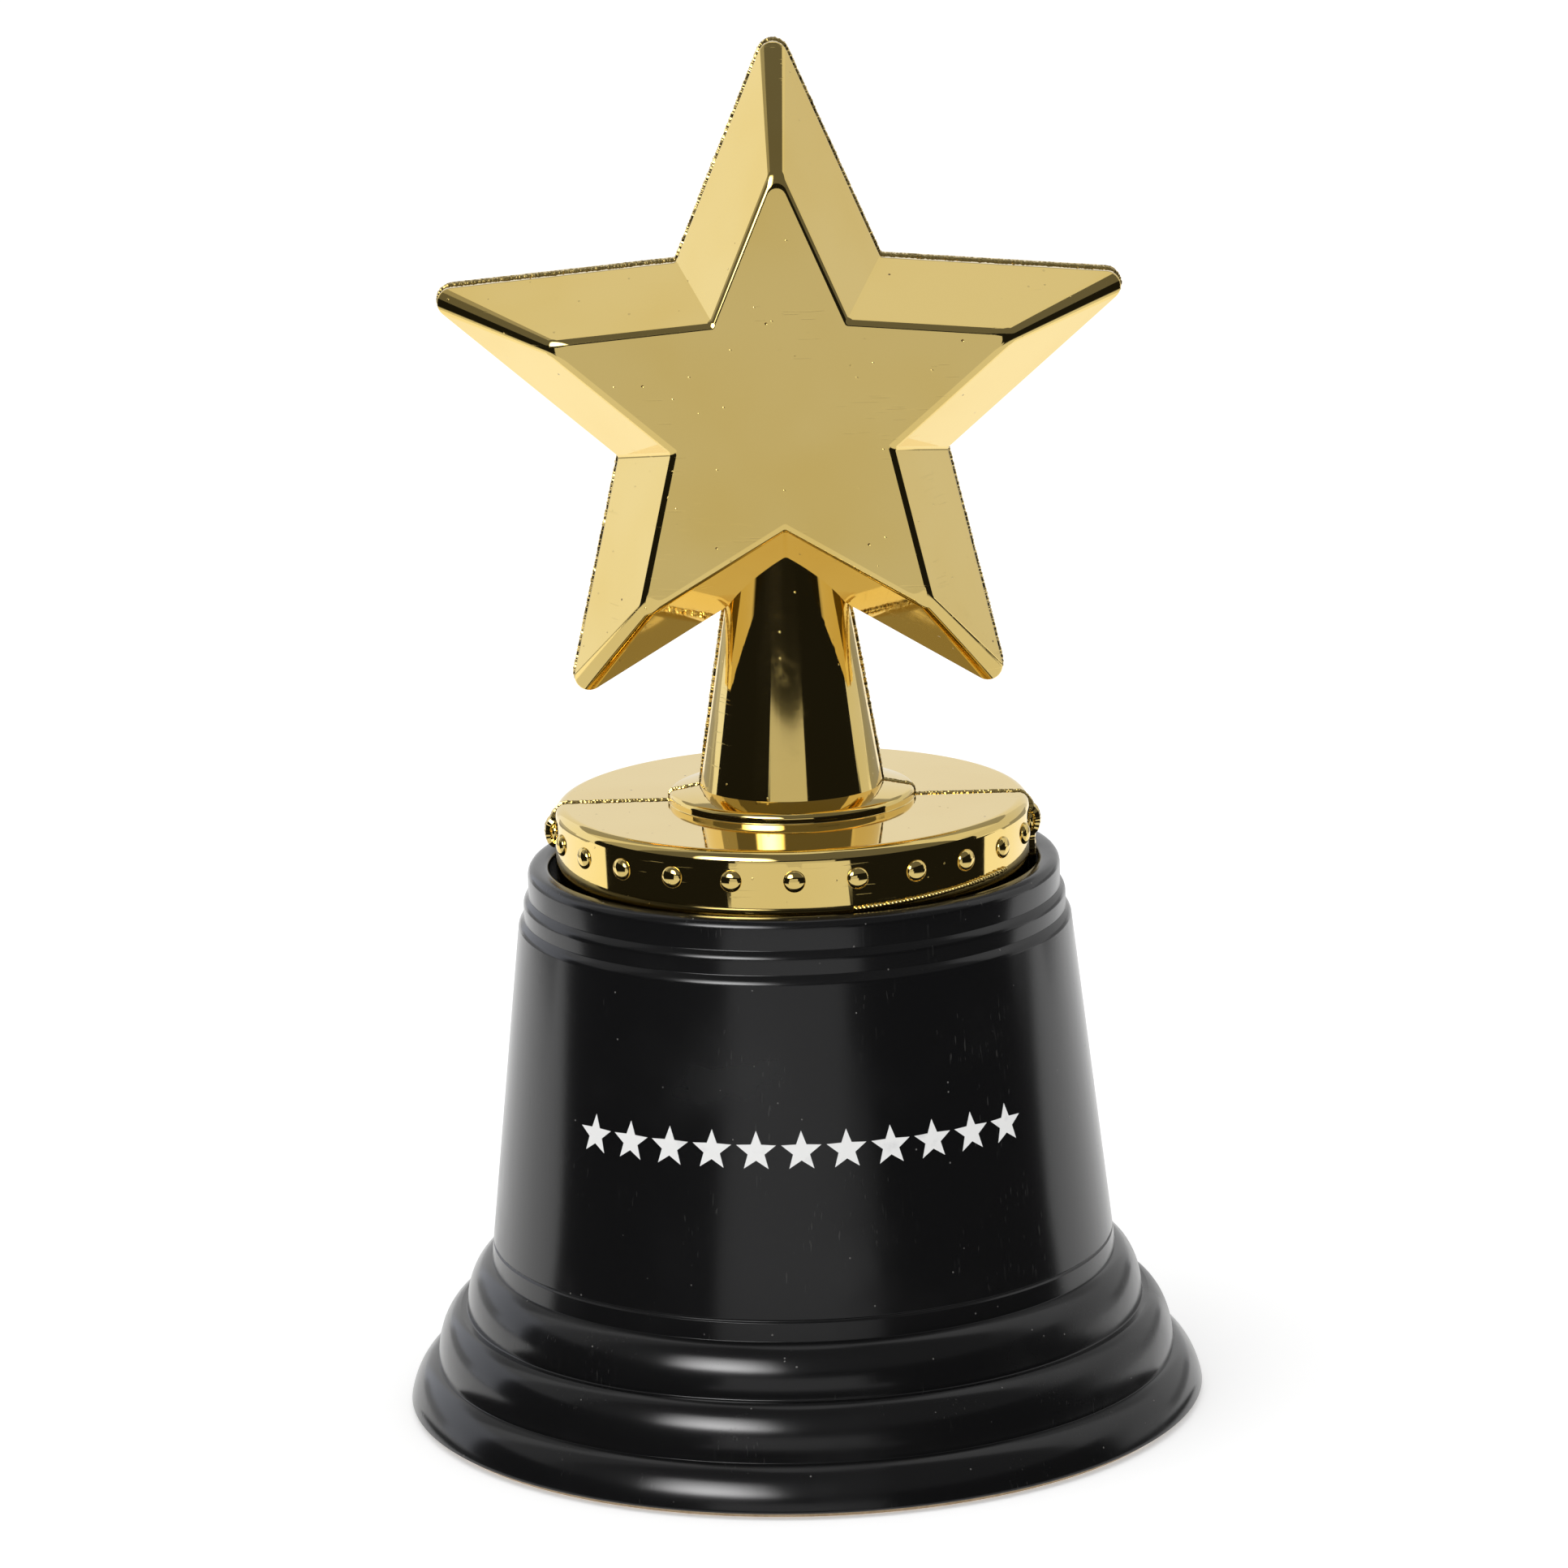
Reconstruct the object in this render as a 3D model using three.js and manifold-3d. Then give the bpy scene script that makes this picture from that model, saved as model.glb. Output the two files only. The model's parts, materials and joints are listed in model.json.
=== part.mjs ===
// A small star award: a metallised star on a stem and a studded disc, moulded in two halves,
// bolted down into the recess of a hollow stepped base. Millimetres, +Z up, the star faces -Y.
// The origin is the centre of the underside.

import * as THREE from 'three';
import { mergeVertices } from 'three/addons/utils/BufferGeometryUtils.js';
import Module from 'manifold-3d';

const wasm = await Module();
wasm.setup();

// Resolution

const roundSegments = 48;
const smallSegments = 24;
const arcSteps = 6;
const studSegments = 8;
const studRings = 6;

// Driving dimensions: base

const cardThickness = 0.4;
const cardInset = 0.7;
const glueLine = 0.05;
const footRadius = 33.2;
const rimLand = 1.9;
const rolls = [
  { run: 2.3, rise: 3.4, step: 0.1, startAngle: 0.29 },
  { run: 2.0, rise: 4.35, step: 0.55, startAngle: 0 },
  { run: 2.1, rise: 4.2, step: 0.1, startAngle: 0 },
];
const rollEndAngle = 1.4;
const groove = { rise: 1.5, width: 0.3, depth: 0.15 };
const wallHeight = 29.1;
const wallThickness = 1.6;
const shoulderStep = 0.4;
const reed = { height: 1.9, step: 0.43 };
const lip = { height: 2.6, wall: 1.8, outerRound: 0.7, innerRound: 0.5 };
const recessDepth = 2.55;
const deckThickness = 1.8;
const screwBoss = { radius: 7, height: 1.2 };

// Driving dimensions: figure

const discFit = 0.6;
const seatGap = 0.05;
const disc = { radius: 19.2, height: 7.5, topRound: 1.5, footRound: 0.4 };
const studs = { count: 24, radius: 0.9, stand: 0.45, drop: 2.4 };
const collar = { radius: 10.1, height: 1.3, fall: 0.5, round: 0.7 };
const stem = { footRadius: 7.55, notchRadius: 4.65, rootDepth: 4 };
const star = { sharpRadius: 30.8, notchRadius: 14.03, tipRound: 1.2, faceInset: 4.1, faceTipRound: 0.75 };
const starDepth = { edge: 3.6, whole: 19.4 };
const lowerTipGap = 9.8;
const figureWall = 1.4;
const floorThickness = 1.6;
const seamGap = 0.1;
const nutBossWall = 2.2;
const pegs = { radius: 1.1, length: 2, postRadius: 2.2, fit: 0.2, starDistance: 15, discDistance: 12.6 };

// Driving dimensions: fastener

const nut = { acrossFlats: 8, height: 4, fit: 0.3, chamfer: 0.4 };
const screw = { radius: 2.4, length: 10, headRadius: 4.7, headHeight: 3, headRound: 1.6, tipChamfer: 0.5 };
const crossSlot = { width: 1.2, length: 4.6, depth: 1.6 };
const washer = { radius: 5, thickness: 1 };
const threadFit = 0.2;
const clearanceFit = 0.5;
const stackGap = 0.05;

// Heights worked out from the driving dimensions, from the floor up

const rimZ = cardThickness + glueLine;
const wallFootZ = rimZ + rolls.reduce((sum, roll) => sum + roll.rise, 0);
const wallTopZ = wallFootZ + wallHeight;
const reedTopZ = wallTopZ + reed.height;
const lipTopZ = reedTopZ + lip.height;
const deckZ = lipTopZ - recessDepth;
const seatZ = deckZ + seatGap;
const discTopZ = seatZ + disc.height;
const collarTopZ = discTopZ + collar.height;
const starCentreZ = discTopZ + lowerTipGap + roundedTip() * Math.cos(Math.PI / 5);
const notchZ = starCentreZ - star.notchRadius;
const nutZ = seatZ + floorThickness + nut.fit;
const washerZ = deckZ - deckThickness - screwBoss.height - stackGap - washer.thickness;
const screwSeatZ = washerZ - stackGap;

// Radii worked out from the driving dimensions

const lipInnerRadius = disc.radius + discFit;
const lipRadius = lipInnerRadius + lip.wall;
const reedRadius = lipRadius + reed.step;
const wallTopRadius = reedRadius + shoulderStep;
const wallFootRadius = rolls.reduce((radius, roll) => radius - roll.run - roll.step, footRadius);
const screwHoleRadius = screw.radius + clearanceFit;

// Materials

const gold = { color: 0xd9b860, roughness: 0.12, metalness: 1 };
const black = { color: 0x141414, roughness: 0.35, metalness: 0 };
const steel = { color: 0xb8bcc0, roughness: 0.35, metalness: 1 };
const kraft = { color: 0xb59a76, roughness: 0.9, metalness: 0 };

// Geometry and solids

function toSolid(geometry) {
  const bare = geometry.clone();
  bare.deleteAttribute('normal');
  bare.deleteAttribute('uv');
  const merged = mergeVertices(bare, 1e-4);
  const index = merged.index.array;
  const corners = [];
  for (let i = 0; i < index.length; i += 3) {
    const [a, b, c] = [index[i], index[i + 1], index[i + 2]];
    if (a !== b && b !== c && c !== a) corners.push(a, b, c);
  }
  return new wasm.Manifold(new wasm.Mesh({
    numProp: 3,
    vertProperties: new Float32Array(merged.attributes.position.array),
    triVerts: new Uint32Array(corners),
  }));
}

function toMesh(solid, name, look) {
  const { vertProperties, triVerts } = solid.getMesh();
  const geometry = new THREE.BufferGeometry();
  geometry.setAttribute('position', new THREE.BufferAttribute(vertProperties, 3));
  geometry.setIndex(new THREE.BufferAttribute(triVerts, 1));
  geometry.computeVertexNormals();
  const mesh = new THREE.Mesh(geometry, new THREE.MeshStandardMaterial(look));
  mesh.name = name;
  return mesh;
}

function arc(centreX, centreY, radiusX, radiusY, startAngle, endAngle, steps = arcSteps) {
  return Array.from({ length: steps + 1 }, (_, i) => {
    const angle = startAngle + ((endAngle - startAngle) * i) / steps;
    return new THREE.Vector2(centreX + radiusX * Math.cos(angle), centreY + radiusY * Math.sin(angle));
  });
}

// A profile runs up the outside and back down the inside or the axis, as (radius, height) points.
function turned(profile, segments = roundSegments) {
  return toSolid(new THREE.LatheGeometry(profile, segments).rotateX(Math.PI / 2));
}

function rod(radius, bottomZ, topZ, segments = smallSegments) {
  return turned([
    new THREE.Vector2(0, bottomZ),
    new THREE.Vector2(radius, bottomZ),
    new THREE.Vector2(radius, topZ),
    new THREE.Vector2(0, topZ),
  ], segments);
}

function block(width, depth, height, x, y, z) {
  return toSolid(new THREE.BoxGeometry(width, depth, height).translate(x, y, z));
}

// A peg, post or socket whose axis lies along Y, at (x, z).
function crossRod(radius, startY, endY, x, z) {
  const length = endY - startY;
  const geometry = new THREE.CylinderGeometry(radius, radius, length, smallSegments);
  return toSolid(geometry.translate(x, startY + length / 2, z));
}

function hexagon(acrossFlats, bottomZ, topZ) {
  return rod(acrossFlats / 2 / Math.cos(Math.PI / 6), bottomZ, topZ, 6);
}

// Base

function rollProfile() {
  let radius = footRadius;
  let z = rimZ;
  const points = [];
  for (const roll of rolls) {
    const startCos = Math.cos(roll.startAngle);
    const startSin = Math.sin(roll.startAngle);
    const radiusX = roll.run / (startCos - Math.cos(rollEndAngle));
    const radiusY = roll.rise / (Math.sin(rollEndAngle) - startSin);
    points.push(...arc(
      radius - radiusX * startCos, z - radiusY * startSin, radiusX, radiusY, roll.startAngle, rollEndAngle,
    ));
    radius -= roll.run + roll.step;
    z += roll.rise;
  }
  return points;
}

function wallPoint(height, inset = 0) {
  const share = height / wallHeight;
  return new THREE.Vector2(
    wallFootRadius + (wallTopRadius - wallFootRadius) * share - inset,
    wallFootZ + height,
  );
}

function baseShell() {
  const outside = [
    ...rollProfile(),
    wallPoint(0),
    wallPoint(groove.rise),
    wallPoint(groove.rise + groove.width / 2, groove.depth),
    wallPoint(groove.rise + groove.width),
    wallPoint(wallHeight),
    new THREE.Vector2(reedRadius, wallTopZ),
    new THREE.Vector2(reedRadius, reedTopZ),
    new THREE.Vector2(lipRadius, reedTopZ),
    ...arc(
      lipRadius - lip.outerRound, lipTopZ - lip.outerRound,
      lip.outerRound, lip.outerRound, 0, Math.PI / 2, 3,
    ),
    ...arc(
      lipInnerRadius + lip.innerRound, lipTopZ - lip.innerRound,
      lip.innerRound, lip.innerRound, Math.PI / 2, Math.PI, 3,
    ),
    new THREE.Vector2(lipInnerRadius, deckZ),
    new THREE.Vector2(0, deckZ),
  ];
  const underDeckZ = deckZ - deckThickness;
  const inside = [
    new THREE.Vector2(0, underDeckZ),
    new THREE.Vector2(wallTopRadius - wallThickness, underDeckZ),
    new THREE.Vector2(wallFootRadius - wallThickness, wallFootZ),
    new THREE.Vector2(footRadius - rimLand, rimZ),
  ];
  return turned([...outside, ...inside, outside[0]])
    .add(rod(screwBoss.radius, underDeckZ - screwBoss.height, underDeckZ + deckThickness / 2))
    .subtract(rod(screwHoleRadius, underDeckZ - 2 * screwBoss.height, deckZ + recessDepth));
}

function baseCard() {
  return rod(footRadius - cardInset, 0, cardThickness, roundSegments);
}

// Star

function roundedTip() {
  const halfAngle = tipHalfAngle();
  return star.sharpRadius - star.tipRound / Math.sin(halfAngle) + star.tipRound;
}

function tipHalfAngle() {
  const along = star.sharpRadius - star.notchRadius * Math.cos(Math.PI / 5);
  return Math.atan2(star.notchRadius * Math.sin(Math.PI / 5), along);
}

// The star's outline moved inward by a distance, which is the same star at a smaller scale.
function starOutline(inset, tipRound) {
  const halfAngle = tipHalfAngle();
  const scale = 1 - inset / (star.sharpRadius * Math.sin(halfAngle));
  const notch = star.notchRadius * scale;
  const roundCentre = star.sharpRadius * scale - tipRound / Math.sin(halfAngle);
  const points = [];
  for (let arm = 0; arm < 5; arm += 1) {
    const direction = Math.PI / 2 + (arm * 2 * Math.PI) / 5;
    const half = Math.PI / 2 - halfAngle;
    points.push(...arc(
      roundCentre * Math.cos(direction), roundCentre * Math.sin(direction),
      tipRound, tipRound, direction - half, direction + half, 4,
    ));
    const between = direction + Math.PI / 5;
    points.push(new THREE.Vector2(notch * Math.cos(between), notch * Math.sin(between)));
  }
  return points;
}

// Joins outlines with equal counts of points, each at its own depth along Y, and closes both ends.
function loft(outlines) {
  const count = outlines[0].points.length;
  const positions = outlines.flatMap(({ y, points }) => points.flatMap((p) => [p.x, y, p.y + starCentreZ]));
  const index = [];
  for (let ring = 0; ring < outlines.length - 1; ring += 1) {
    for (let i = 0; i < count; i += 1) {
      const next = (i + 1) % count;
      const [a, b] = [ring * count + i, ring * count + next];
      index.push(a, a + count, b, b, a + count, b + count);
    }
  }
  const caps = THREE.ShapeUtils.triangulateShape(outlines[0].points, []);
  const last = (outlines.length - 1) * count;
  for (const [a, b, c] of caps) {
    index.push(a, b, c, last + a, last + c, last + b);
  }
  const geometry = new THREE.BufferGeometry();
  geometry.setAttribute('position', new THREE.Float32BufferAttribute(positions, 3));
  geometry.setIndex(index);
  return toSolid(geometry);
}

function starBody(wall) {
  const slope = Math.atan2(star.faceInset, (starDepth.whole - starDepth.edge) / 2);
  const offset = wall / Math.cos(slope);
  const edgeY = starDepth.edge / 2;
  const faceY = starDepth.whole / 2 - wall;
  const faceInset = offset + (faceY - edgeY) * Math.tan(slope);
  const edge = starOutline(offset, star.tipRound);
  const face = starOutline(faceInset, star.faceTipRound);
  return loft([
    { y: -faceY, points: face },
    { y: -edgeY, points: edge },
    { y: edgeY, points: edge },
    { y: faceY, points: face },
  ]);
}

// Stem, collar and disc

function stemBody(wall, bottomZ) {
  const slope = (stem.notchRadius - stem.footRadius) / (notchZ - collarTopZ);
  const topZ = notchZ + stem.rootDepth;
  const radiusAt = (z) => stem.footRadius + slope * (z - collarTopZ) - wall;
  return turned([
    new THREE.Vector2(0, bottomZ),
    new THREE.Vector2(radiusAt(bottomZ), bottomZ),
    new THREE.Vector2(radiusAt(topZ), topZ),
    new THREE.Vector2(0, topZ),
  ]);
}

function discBody() {
  const collarEdgeZ = collarTopZ - collar.fall;
  return turned([
    new THREE.Vector2(0, seatZ),
    ...arc(
      disc.radius - disc.footRound, seatZ + disc.footRound,
      disc.footRound, disc.footRound, -Math.PI / 2, 0, 2,
    ),
    ...arc(
      disc.radius - disc.topRound, discTopZ - disc.topRound,
      disc.topRound, disc.topRound, 0, Math.PI / 2,
    ),
    new THREE.Vector2(collar.radius, discTopZ),
    ...arc(
      collar.radius - collar.round, collarEdgeZ - collar.round,
      collar.round, collar.round, 0, Math.PI / 2, 4,
    ),
    new THREE.Vector2(stem.footRadius, collarTopZ),
    new THREE.Vector2(0, collarTopZ),
  ]);
}

function studRow() {
  let row = null;
  for (let i = 0; i < studs.count; i += 1) {
    const angle = (i * 2 * Math.PI) / studs.count;
    const ball = new THREE.SphereGeometry(studs.radius, studSegments, studRings).rotateX(Math.PI / 2);
    ball.scale(studs.stand / studs.radius, 1, 1).rotateZ(angle);
    ball.translate(disc.radius * Math.cos(angle), disc.radius * Math.sin(angle), discTopZ - studs.drop);
    const stud = toSolid(ball);
    row = row ? row.add(stud) : stud;
  }
  return row;
}

function discCavity() {
  const radius = disc.radius - figureWall;
  const round = Math.max(disc.topRound - figureWall, 0.1);
  const topZ = discTopZ - figureWall;
  const floorZ = seatZ + floorThickness;
  return turned([
    new THREE.Vector2(0, floorZ),
    new THREE.Vector2(radius, floorZ),
    ...arc(radius - round, topZ - round, round, round, 0, Math.PI / 2, 2),
    new THREE.Vector2(0, topZ),
  ]);
}

// Posts that carry the locating pegs across the seam

const pegPlaces = [
  ...[0, 2, 3].map((arm) => {
    const direction = Math.PI / 2 + (arm * 2 * Math.PI) / 5;
    return [pegs.starDistance * Math.cos(direction), starCentreZ + pegs.starDistance * Math.sin(direction)];
  }),
  ...[-1, 1].map((side) => [side * pegs.discDistance, (seatZ + floorThickness + discTopZ - figureWall) / 2]),
];

function posts() {
  const starReach = starDepth.whole / 2 - figureWall / 2;
  const cavityRadius = disc.radius - figureWall / 2;
  const discReach = Math.sqrt(cavityRadius ** 2 - pegs.discDistance ** 2);
  return pegPlaces.map(([x, z]) => {
    if (z > collarTopZ) return crossRod(pegs.postRadius, -starReach, starReach, x, z);
    return block(2 * pegs.postRadius, 2 * discReach, discTopZ - seatZ - figureWall, x, 0, z);
  });
}

function figure() {
  const nutTopZ = nutZ + nut.height + nut.fit;
  const bossRadius = nut.acrossFlats / 2 / Math.cos(Math.PI / 6) + nutBossWall;
  const outside = starBody(0).add(stemBody(0, discTopZ)).add(discBody()).add(studRow());
  const boss = rod(bossRadius, seatZ + floorThickness / 2, discTopZ - figureWall / 2);
  let cavity = starBody(figureWall).add(discCavity().subtract(boss));
  for (const post of posts()) cavity = cavity.subtract(post);
  const screwWay = rod(screwHoleRadius, seatZ - 1, discTopZ + 1);
  const stemCavity = stemBody(figureWall, discTopZ).add(screwWay);
  return outside
    .subtract(cavity)
    .subtract(stemCavity)
    .subtract(hexagon(nut.acrossFlats + 2 * nut.fit, nutZ - nut.fit, nutTopZ));
}

// Everything in front of the seam, or behind it.
function half(body, side) {
  const reach = 2 * (disc.radius + star.sharpRadius);
  const tall = 2 * (starCentreZ + star.sharpRadius);
  return body.intersect(block(reach, reach, tall, 0, side * (seamGap / 2 + reach / 2), 0));
}

function figureFrontHalf(body) {
  let piece = half(body, -1);
  for (const [x, z] of pegPlaces) {
    piece = piece.add(crossRod(pegs.radius, -seamGap - pegs.length, pegs.length, x, z));
  }
  return piece;
}

function figureRearHalf(body) {
  let piece = half(body, 1);
  for (const [x, z] of pegPlaces) {
    piece = piece.subtract(crossRod(pegs.radius + pegs.fit, -seamGap, pegs.length + pegs.fit, x, z));
  }
  return piece;
}

// Fastener

function captiveNut() {
  const corner = nut.acrossFlats / 2 / Math.cos(Math.PI / 6);
  const blank = turned([
    new THREE.Vector2(0, nutZ),
    new THREE.Vector2(corner - nut.chamfer, nutZ),
    new THREE.Vector2(corner, nutZ + nut.chamfer),
    new THREE.Vector2(corner, nutZ + nut.height - nut.chamfer),
    new THREE.Vector2(corner - nut.chamfer, nutZ + nut.height),
    new THREE.Vector2(0, nutZ + nut.height),
  ], 6);
  return blank.subtract(rod(screw.radius + threadFit, nutZ - 1, nutZ + nut.height + 1));
}

function fixingWasher() {
  return rod(washer.radius, washerZ, washerZ + washer.thickness)
    .subtract(rod(screw.radius + threadFit, washerZ - 1, washerZ + washer.thickness + 1));
}

function fixingScrew() {
  const headZ = screwSeatZ - screw.headHeight;
  const tipZ = screwSeatZ + screw.length;
  const body = turned([
    new THREE.Vector2(0, headZ),
    ...arc(
      screw.headRadius - screw.headRound, headZ + screw.headRound,
      screw.headRound, screw.headRound, -Math.PI / 2, 0, 4,
    ),
    new THREE.Vector2(screw.headRadius, screwSeatZ),
    new THREE.Vector2(screw.radius, screwSeatZ),
    new THREE.Vector2(screw.radius, tipZ - screw.tipChamfer),
    new THREE.Vector2(screw.radius - screw.tipChamfer, tipZ),
    new THREE.Vector2(0, tipZ),
  ], smallSegments);
  return body
    .subtract(block(crossSlot.length, crossSlot.width, 2 * crossSlot.depth, 0, 0, headZ))
    .subtract(block(crossSlot.width, crossSlot.length, 2 * crossSlot.depth, 0, 0, headZ));
}

const trophy = new THREE.Group();
const wholeFigure = figure();
trophy.add(
  toMesh(baseShell(), 'base_shell', black),
  toMesh(baseCard(), 'base_card', kraft),
  toMesh(figureFrontHalf(wholeFigure), 'figure_front_half', gold),
  toMesh(figureRearHalf(wholeFigure), 'figure_rear_half', gold),
  toMesh(captiveNut(), 'captive_nut', steel),
  toMesh(fixingScrew(), 'fixing_screw', steel),
  toMesh(fixingWasher(), 'fixing_washer', steel),
);

export default trophy;
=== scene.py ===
"""A small star award in gold-metallised and black plastic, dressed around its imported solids.

The figure is moulded in two halves that meet on the plane y = 0. It sits in the recess of a hollow
black base and is held by a screw from below. The star faces -Y and +Z is up. Sizes in the dataclasses
are millimetres, except in the studio, and meshes are metres.
"""

from __future__ import annotations

import json
import logging
import math
from collections.abc import Mapping, Sequence
from dataclasses import dataclass, field
from enum import Enum

import bmesh
import bpy
from bpy.types import ID, Material, Mesh, Node, NodeSocket, NodeTree, Object
from mathutils import Matrix, Vector

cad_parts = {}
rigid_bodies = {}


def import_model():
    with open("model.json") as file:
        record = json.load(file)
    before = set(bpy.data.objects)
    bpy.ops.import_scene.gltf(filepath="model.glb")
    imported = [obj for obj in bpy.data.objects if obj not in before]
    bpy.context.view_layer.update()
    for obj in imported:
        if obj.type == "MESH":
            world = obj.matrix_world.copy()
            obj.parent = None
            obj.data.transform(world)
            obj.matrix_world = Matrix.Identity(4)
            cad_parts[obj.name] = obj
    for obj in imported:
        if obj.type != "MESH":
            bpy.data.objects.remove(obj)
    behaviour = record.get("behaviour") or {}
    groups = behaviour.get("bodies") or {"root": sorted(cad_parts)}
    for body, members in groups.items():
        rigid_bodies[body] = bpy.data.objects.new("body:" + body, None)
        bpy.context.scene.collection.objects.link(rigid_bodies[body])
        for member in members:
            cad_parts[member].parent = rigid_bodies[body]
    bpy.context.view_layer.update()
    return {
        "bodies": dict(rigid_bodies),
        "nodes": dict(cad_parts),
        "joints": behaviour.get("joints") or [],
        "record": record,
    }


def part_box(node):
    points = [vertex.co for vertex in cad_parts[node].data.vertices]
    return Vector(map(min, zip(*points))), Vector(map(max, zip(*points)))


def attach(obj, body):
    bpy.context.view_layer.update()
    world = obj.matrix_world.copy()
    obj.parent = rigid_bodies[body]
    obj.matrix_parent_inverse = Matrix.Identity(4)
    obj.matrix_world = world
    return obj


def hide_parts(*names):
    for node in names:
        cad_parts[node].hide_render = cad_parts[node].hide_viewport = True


LOG = logging.getLogger("star_trophy")
MM = 0.001
ROOT = "root"

Point = tuple[float, float]
Triple = tuple[float, float, float]
Inputs = Mapping[int | str, object]


# Plane outlines


@dataclass(frozen=True)
class Corner:
    """A corner of an outline, with the radius that rounds it."""

    across: float
    along: float
    round: float = 0.0


def arc(centre: Point, radii: Point, start: float, end: float, steps: int) -> list[Point]:
    """Points along an elliptical arc between two angles in radians."""
    angles = [start + (end - start) * i / steps for i in range(steps + 1)]
    return [(centre[0] + radii[0] * math.cos(a), centre[1] + radii[1] * math.sin(a)) for a in angles]


def rounded(corners: Sequence[Corner], steps: int, closed: bool = False) -> list[Point]:
    """An outline with each corner rounded by an arc that takes less than half of a shared edge.

    Args:
        corners: The outline's corners in order.
        steps: Steps in each corner's arc. A corner with no radius stays one point.
        closed: Whether the last corner joins the first.

    Returns:
        The outline's points.
    """
    points: list[Point] = []
    count = len(corners)
    for i, corner in enumerate(corners):
        here = Vector((corner.across, corner.along))
        if corner.round <= 0 or (not closed and i in (0, count - 1)):
            points.append((here.x, here.y))
            continue
        before, after = corners[i - 1], corners[(i + 1) % count]
        back = Vector((before.across, before.along)) - here
        ahead = Vector((after.across, after.along)) - here
        half = back.angle(ahead) / 2
        room = [(0.49 if other.round > 0 else 0.95) for other in (before, after)]
        reach = min(corner.round / math.tan(half), room[0] * back.length, room[1] * ahead.length)
        radius = reach * math.tan(half)
        middle = (back.normalized() + ahead.normalized()).normalized()
        centre = here + middle * (radius / math.sin(half))
        first = here + back.normalized() * reach - centre
        last = here + ahead.normalized() * reach - centre
        turn = math.atan2(first.x * last.y - first.y * last.x, first.dot(last))
        for step in range(steps + 1):
            spoke = first.copy()
            spoke.rotate(Matrix.Rotation(turn * step / steps, 2))
            points.append((centre.x + spoke.x, centre.y + spoke.y))
    return points


# Meshes and solids


def new_piece(name: str, data: ID | None = None) -> Object:
    """An object at the origin.

    Args:
        name: The object's name.
        data: What it holds. Otherwise it gets an empty mesh.

    Returns:
        The new object.
    """
    piece = bpy.data.objects.new(name, data or bpy.data.meshes.new(name))
    bpy.context.scene.collection.objects.link(piece)
    return piece


def from_shape(name: str, shape: bmesh.types.BMesh) -> Object:
    """An object made of a finished shape.

    Args:
        name: The object's name.
        shape: The shape, which is freed.

    Returns:
        The new object.
    """
    piece = new_piece(name)
    shape.to_mesh(piece.data)
    shape.free()
    return piece


def from_rings(name: str, rings: Sequence[Sequence[Triple]], loop: bool = False) -> Object:
    """A closed solid skinned over rings of points, given in millimetres.

    Args:
        name: The object's name.
        rings: Rings with equal counts of points, or a single point for a pole.
        loop: Whether the last ring joins the first. Otherwise both ends are closed by a face or a pole.

    Returns:
        The new object, with its faces pointing out.
    """
    shape = bmesh.new()
    rows = [[shape.verts.new(Vector(p) * MM) for p in ring] for ring in rings]
    pairs = list(zip(rows, rows[1:]))
    if loop:
        pairs.append((rows[-1], rows[0]))
    for low, high in pairs:
        count = max(len(low), len(high))
        for i in range(count):
            j = (i + 1) % count
            if len(low) == 1:
                shape.faces.new((low[0], high[j], high[i]))
            elif len(high) == 1:
                shape.faces.new((low[i], low[j], high[0]))
            else:
                shape.faces.new((low[i], low[j], high[j], high[i]))
    if not loop:
        for row in (rows[0], rows[-1]):
            if len(row) > 2:
                shape.faces.new(row)
    bmesh.ops.recalc_face_normals(shape, faces=shape.faces)
    return from_shape(name, shape)


def turned(name: str, profile: Sequence[Point], segments: int, loop: bool = False) -> Object:
    """A solid turned about the Z axis.

    Args:
        name: The object's name.
        profile: Points (radius, height) in millimetres. A radius of 0 is a pole.
        segments: Sides all the way round.
        loop: Whether the profile closes on itself instead of on the axis.

    Returns:
        The new object.
    """
    turns = [2 * math.pi * i / segments for i in range(segments)]
    rings = [
        [(radius * math.cos(t), radius * math.sin(t), z) for t in turns] if radius > 0 else [(0.0, 0.0, z)]
        for radius, z in profile
    ]
    return from_rings(name, rings, loop)


def rod(name: str, radius: float, low: float, high: float, segments: int = 48) -> Object:
    """An upright round bar between two heights."""
    return turned(name, [(0, low), (radius, low), (radius, high), (0, high)], segments)


def cross_rod(name: str, radius: float, ends: Point, place: Point, sides: int = 32) -> Object:
    """A round bar along Y.

    Args:
        name: The object's name.
        radius: The bar's radius.
        ends: The depths of its ends.
        place: The x and z of its axis.
        sides: Sides all the way round.

    Returns:
        The bar.
    """
    turns = [2 * math.pi * i / sides for i in range(sides)]
    ring = [(place[0] + radius * math.cos(t), place[1] + radius * math.sin(t)) for t in turns]
    return from_rings(name, [[(x, y, z) for x, z in ring] for y in ends])


def block(name: str, low: Triple, high: Triple, cell: float = 1000.0) -> Object:
    """A box between two corners.

    Args:
        name: The object's name.
        low: Its lowest corner.
        high: Its highest corner.
        cell: The largest size of its faces in x and z, so that a cut leaves no large face with holes.

    Returns:
        The box.
    """
    across, up = (max(1, math.ceil((high[i] - low[i]) / cell)) for i in (0, 2))
    xs = [low[0] + (high[0] - low[0]) * i / across for i in range(across + 1)]
    corners = [(x, low[1]) for x in xs] + [(x, high[1]) for x in reversed(xs)]
    levels = [low[2] + (high[2] - low[2]) * i / up for i in range(up + 1)]
    return from_rings(name, [[(x, y, z) for x, y in corners] for z in levels])


class Cut(Enum):
    """What a second solid does to the first."""

    JOIN = "UNION"
    REMOVE = "DIFFERENCE"
    KEEP_COMMON = "INTERSECT"


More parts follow.
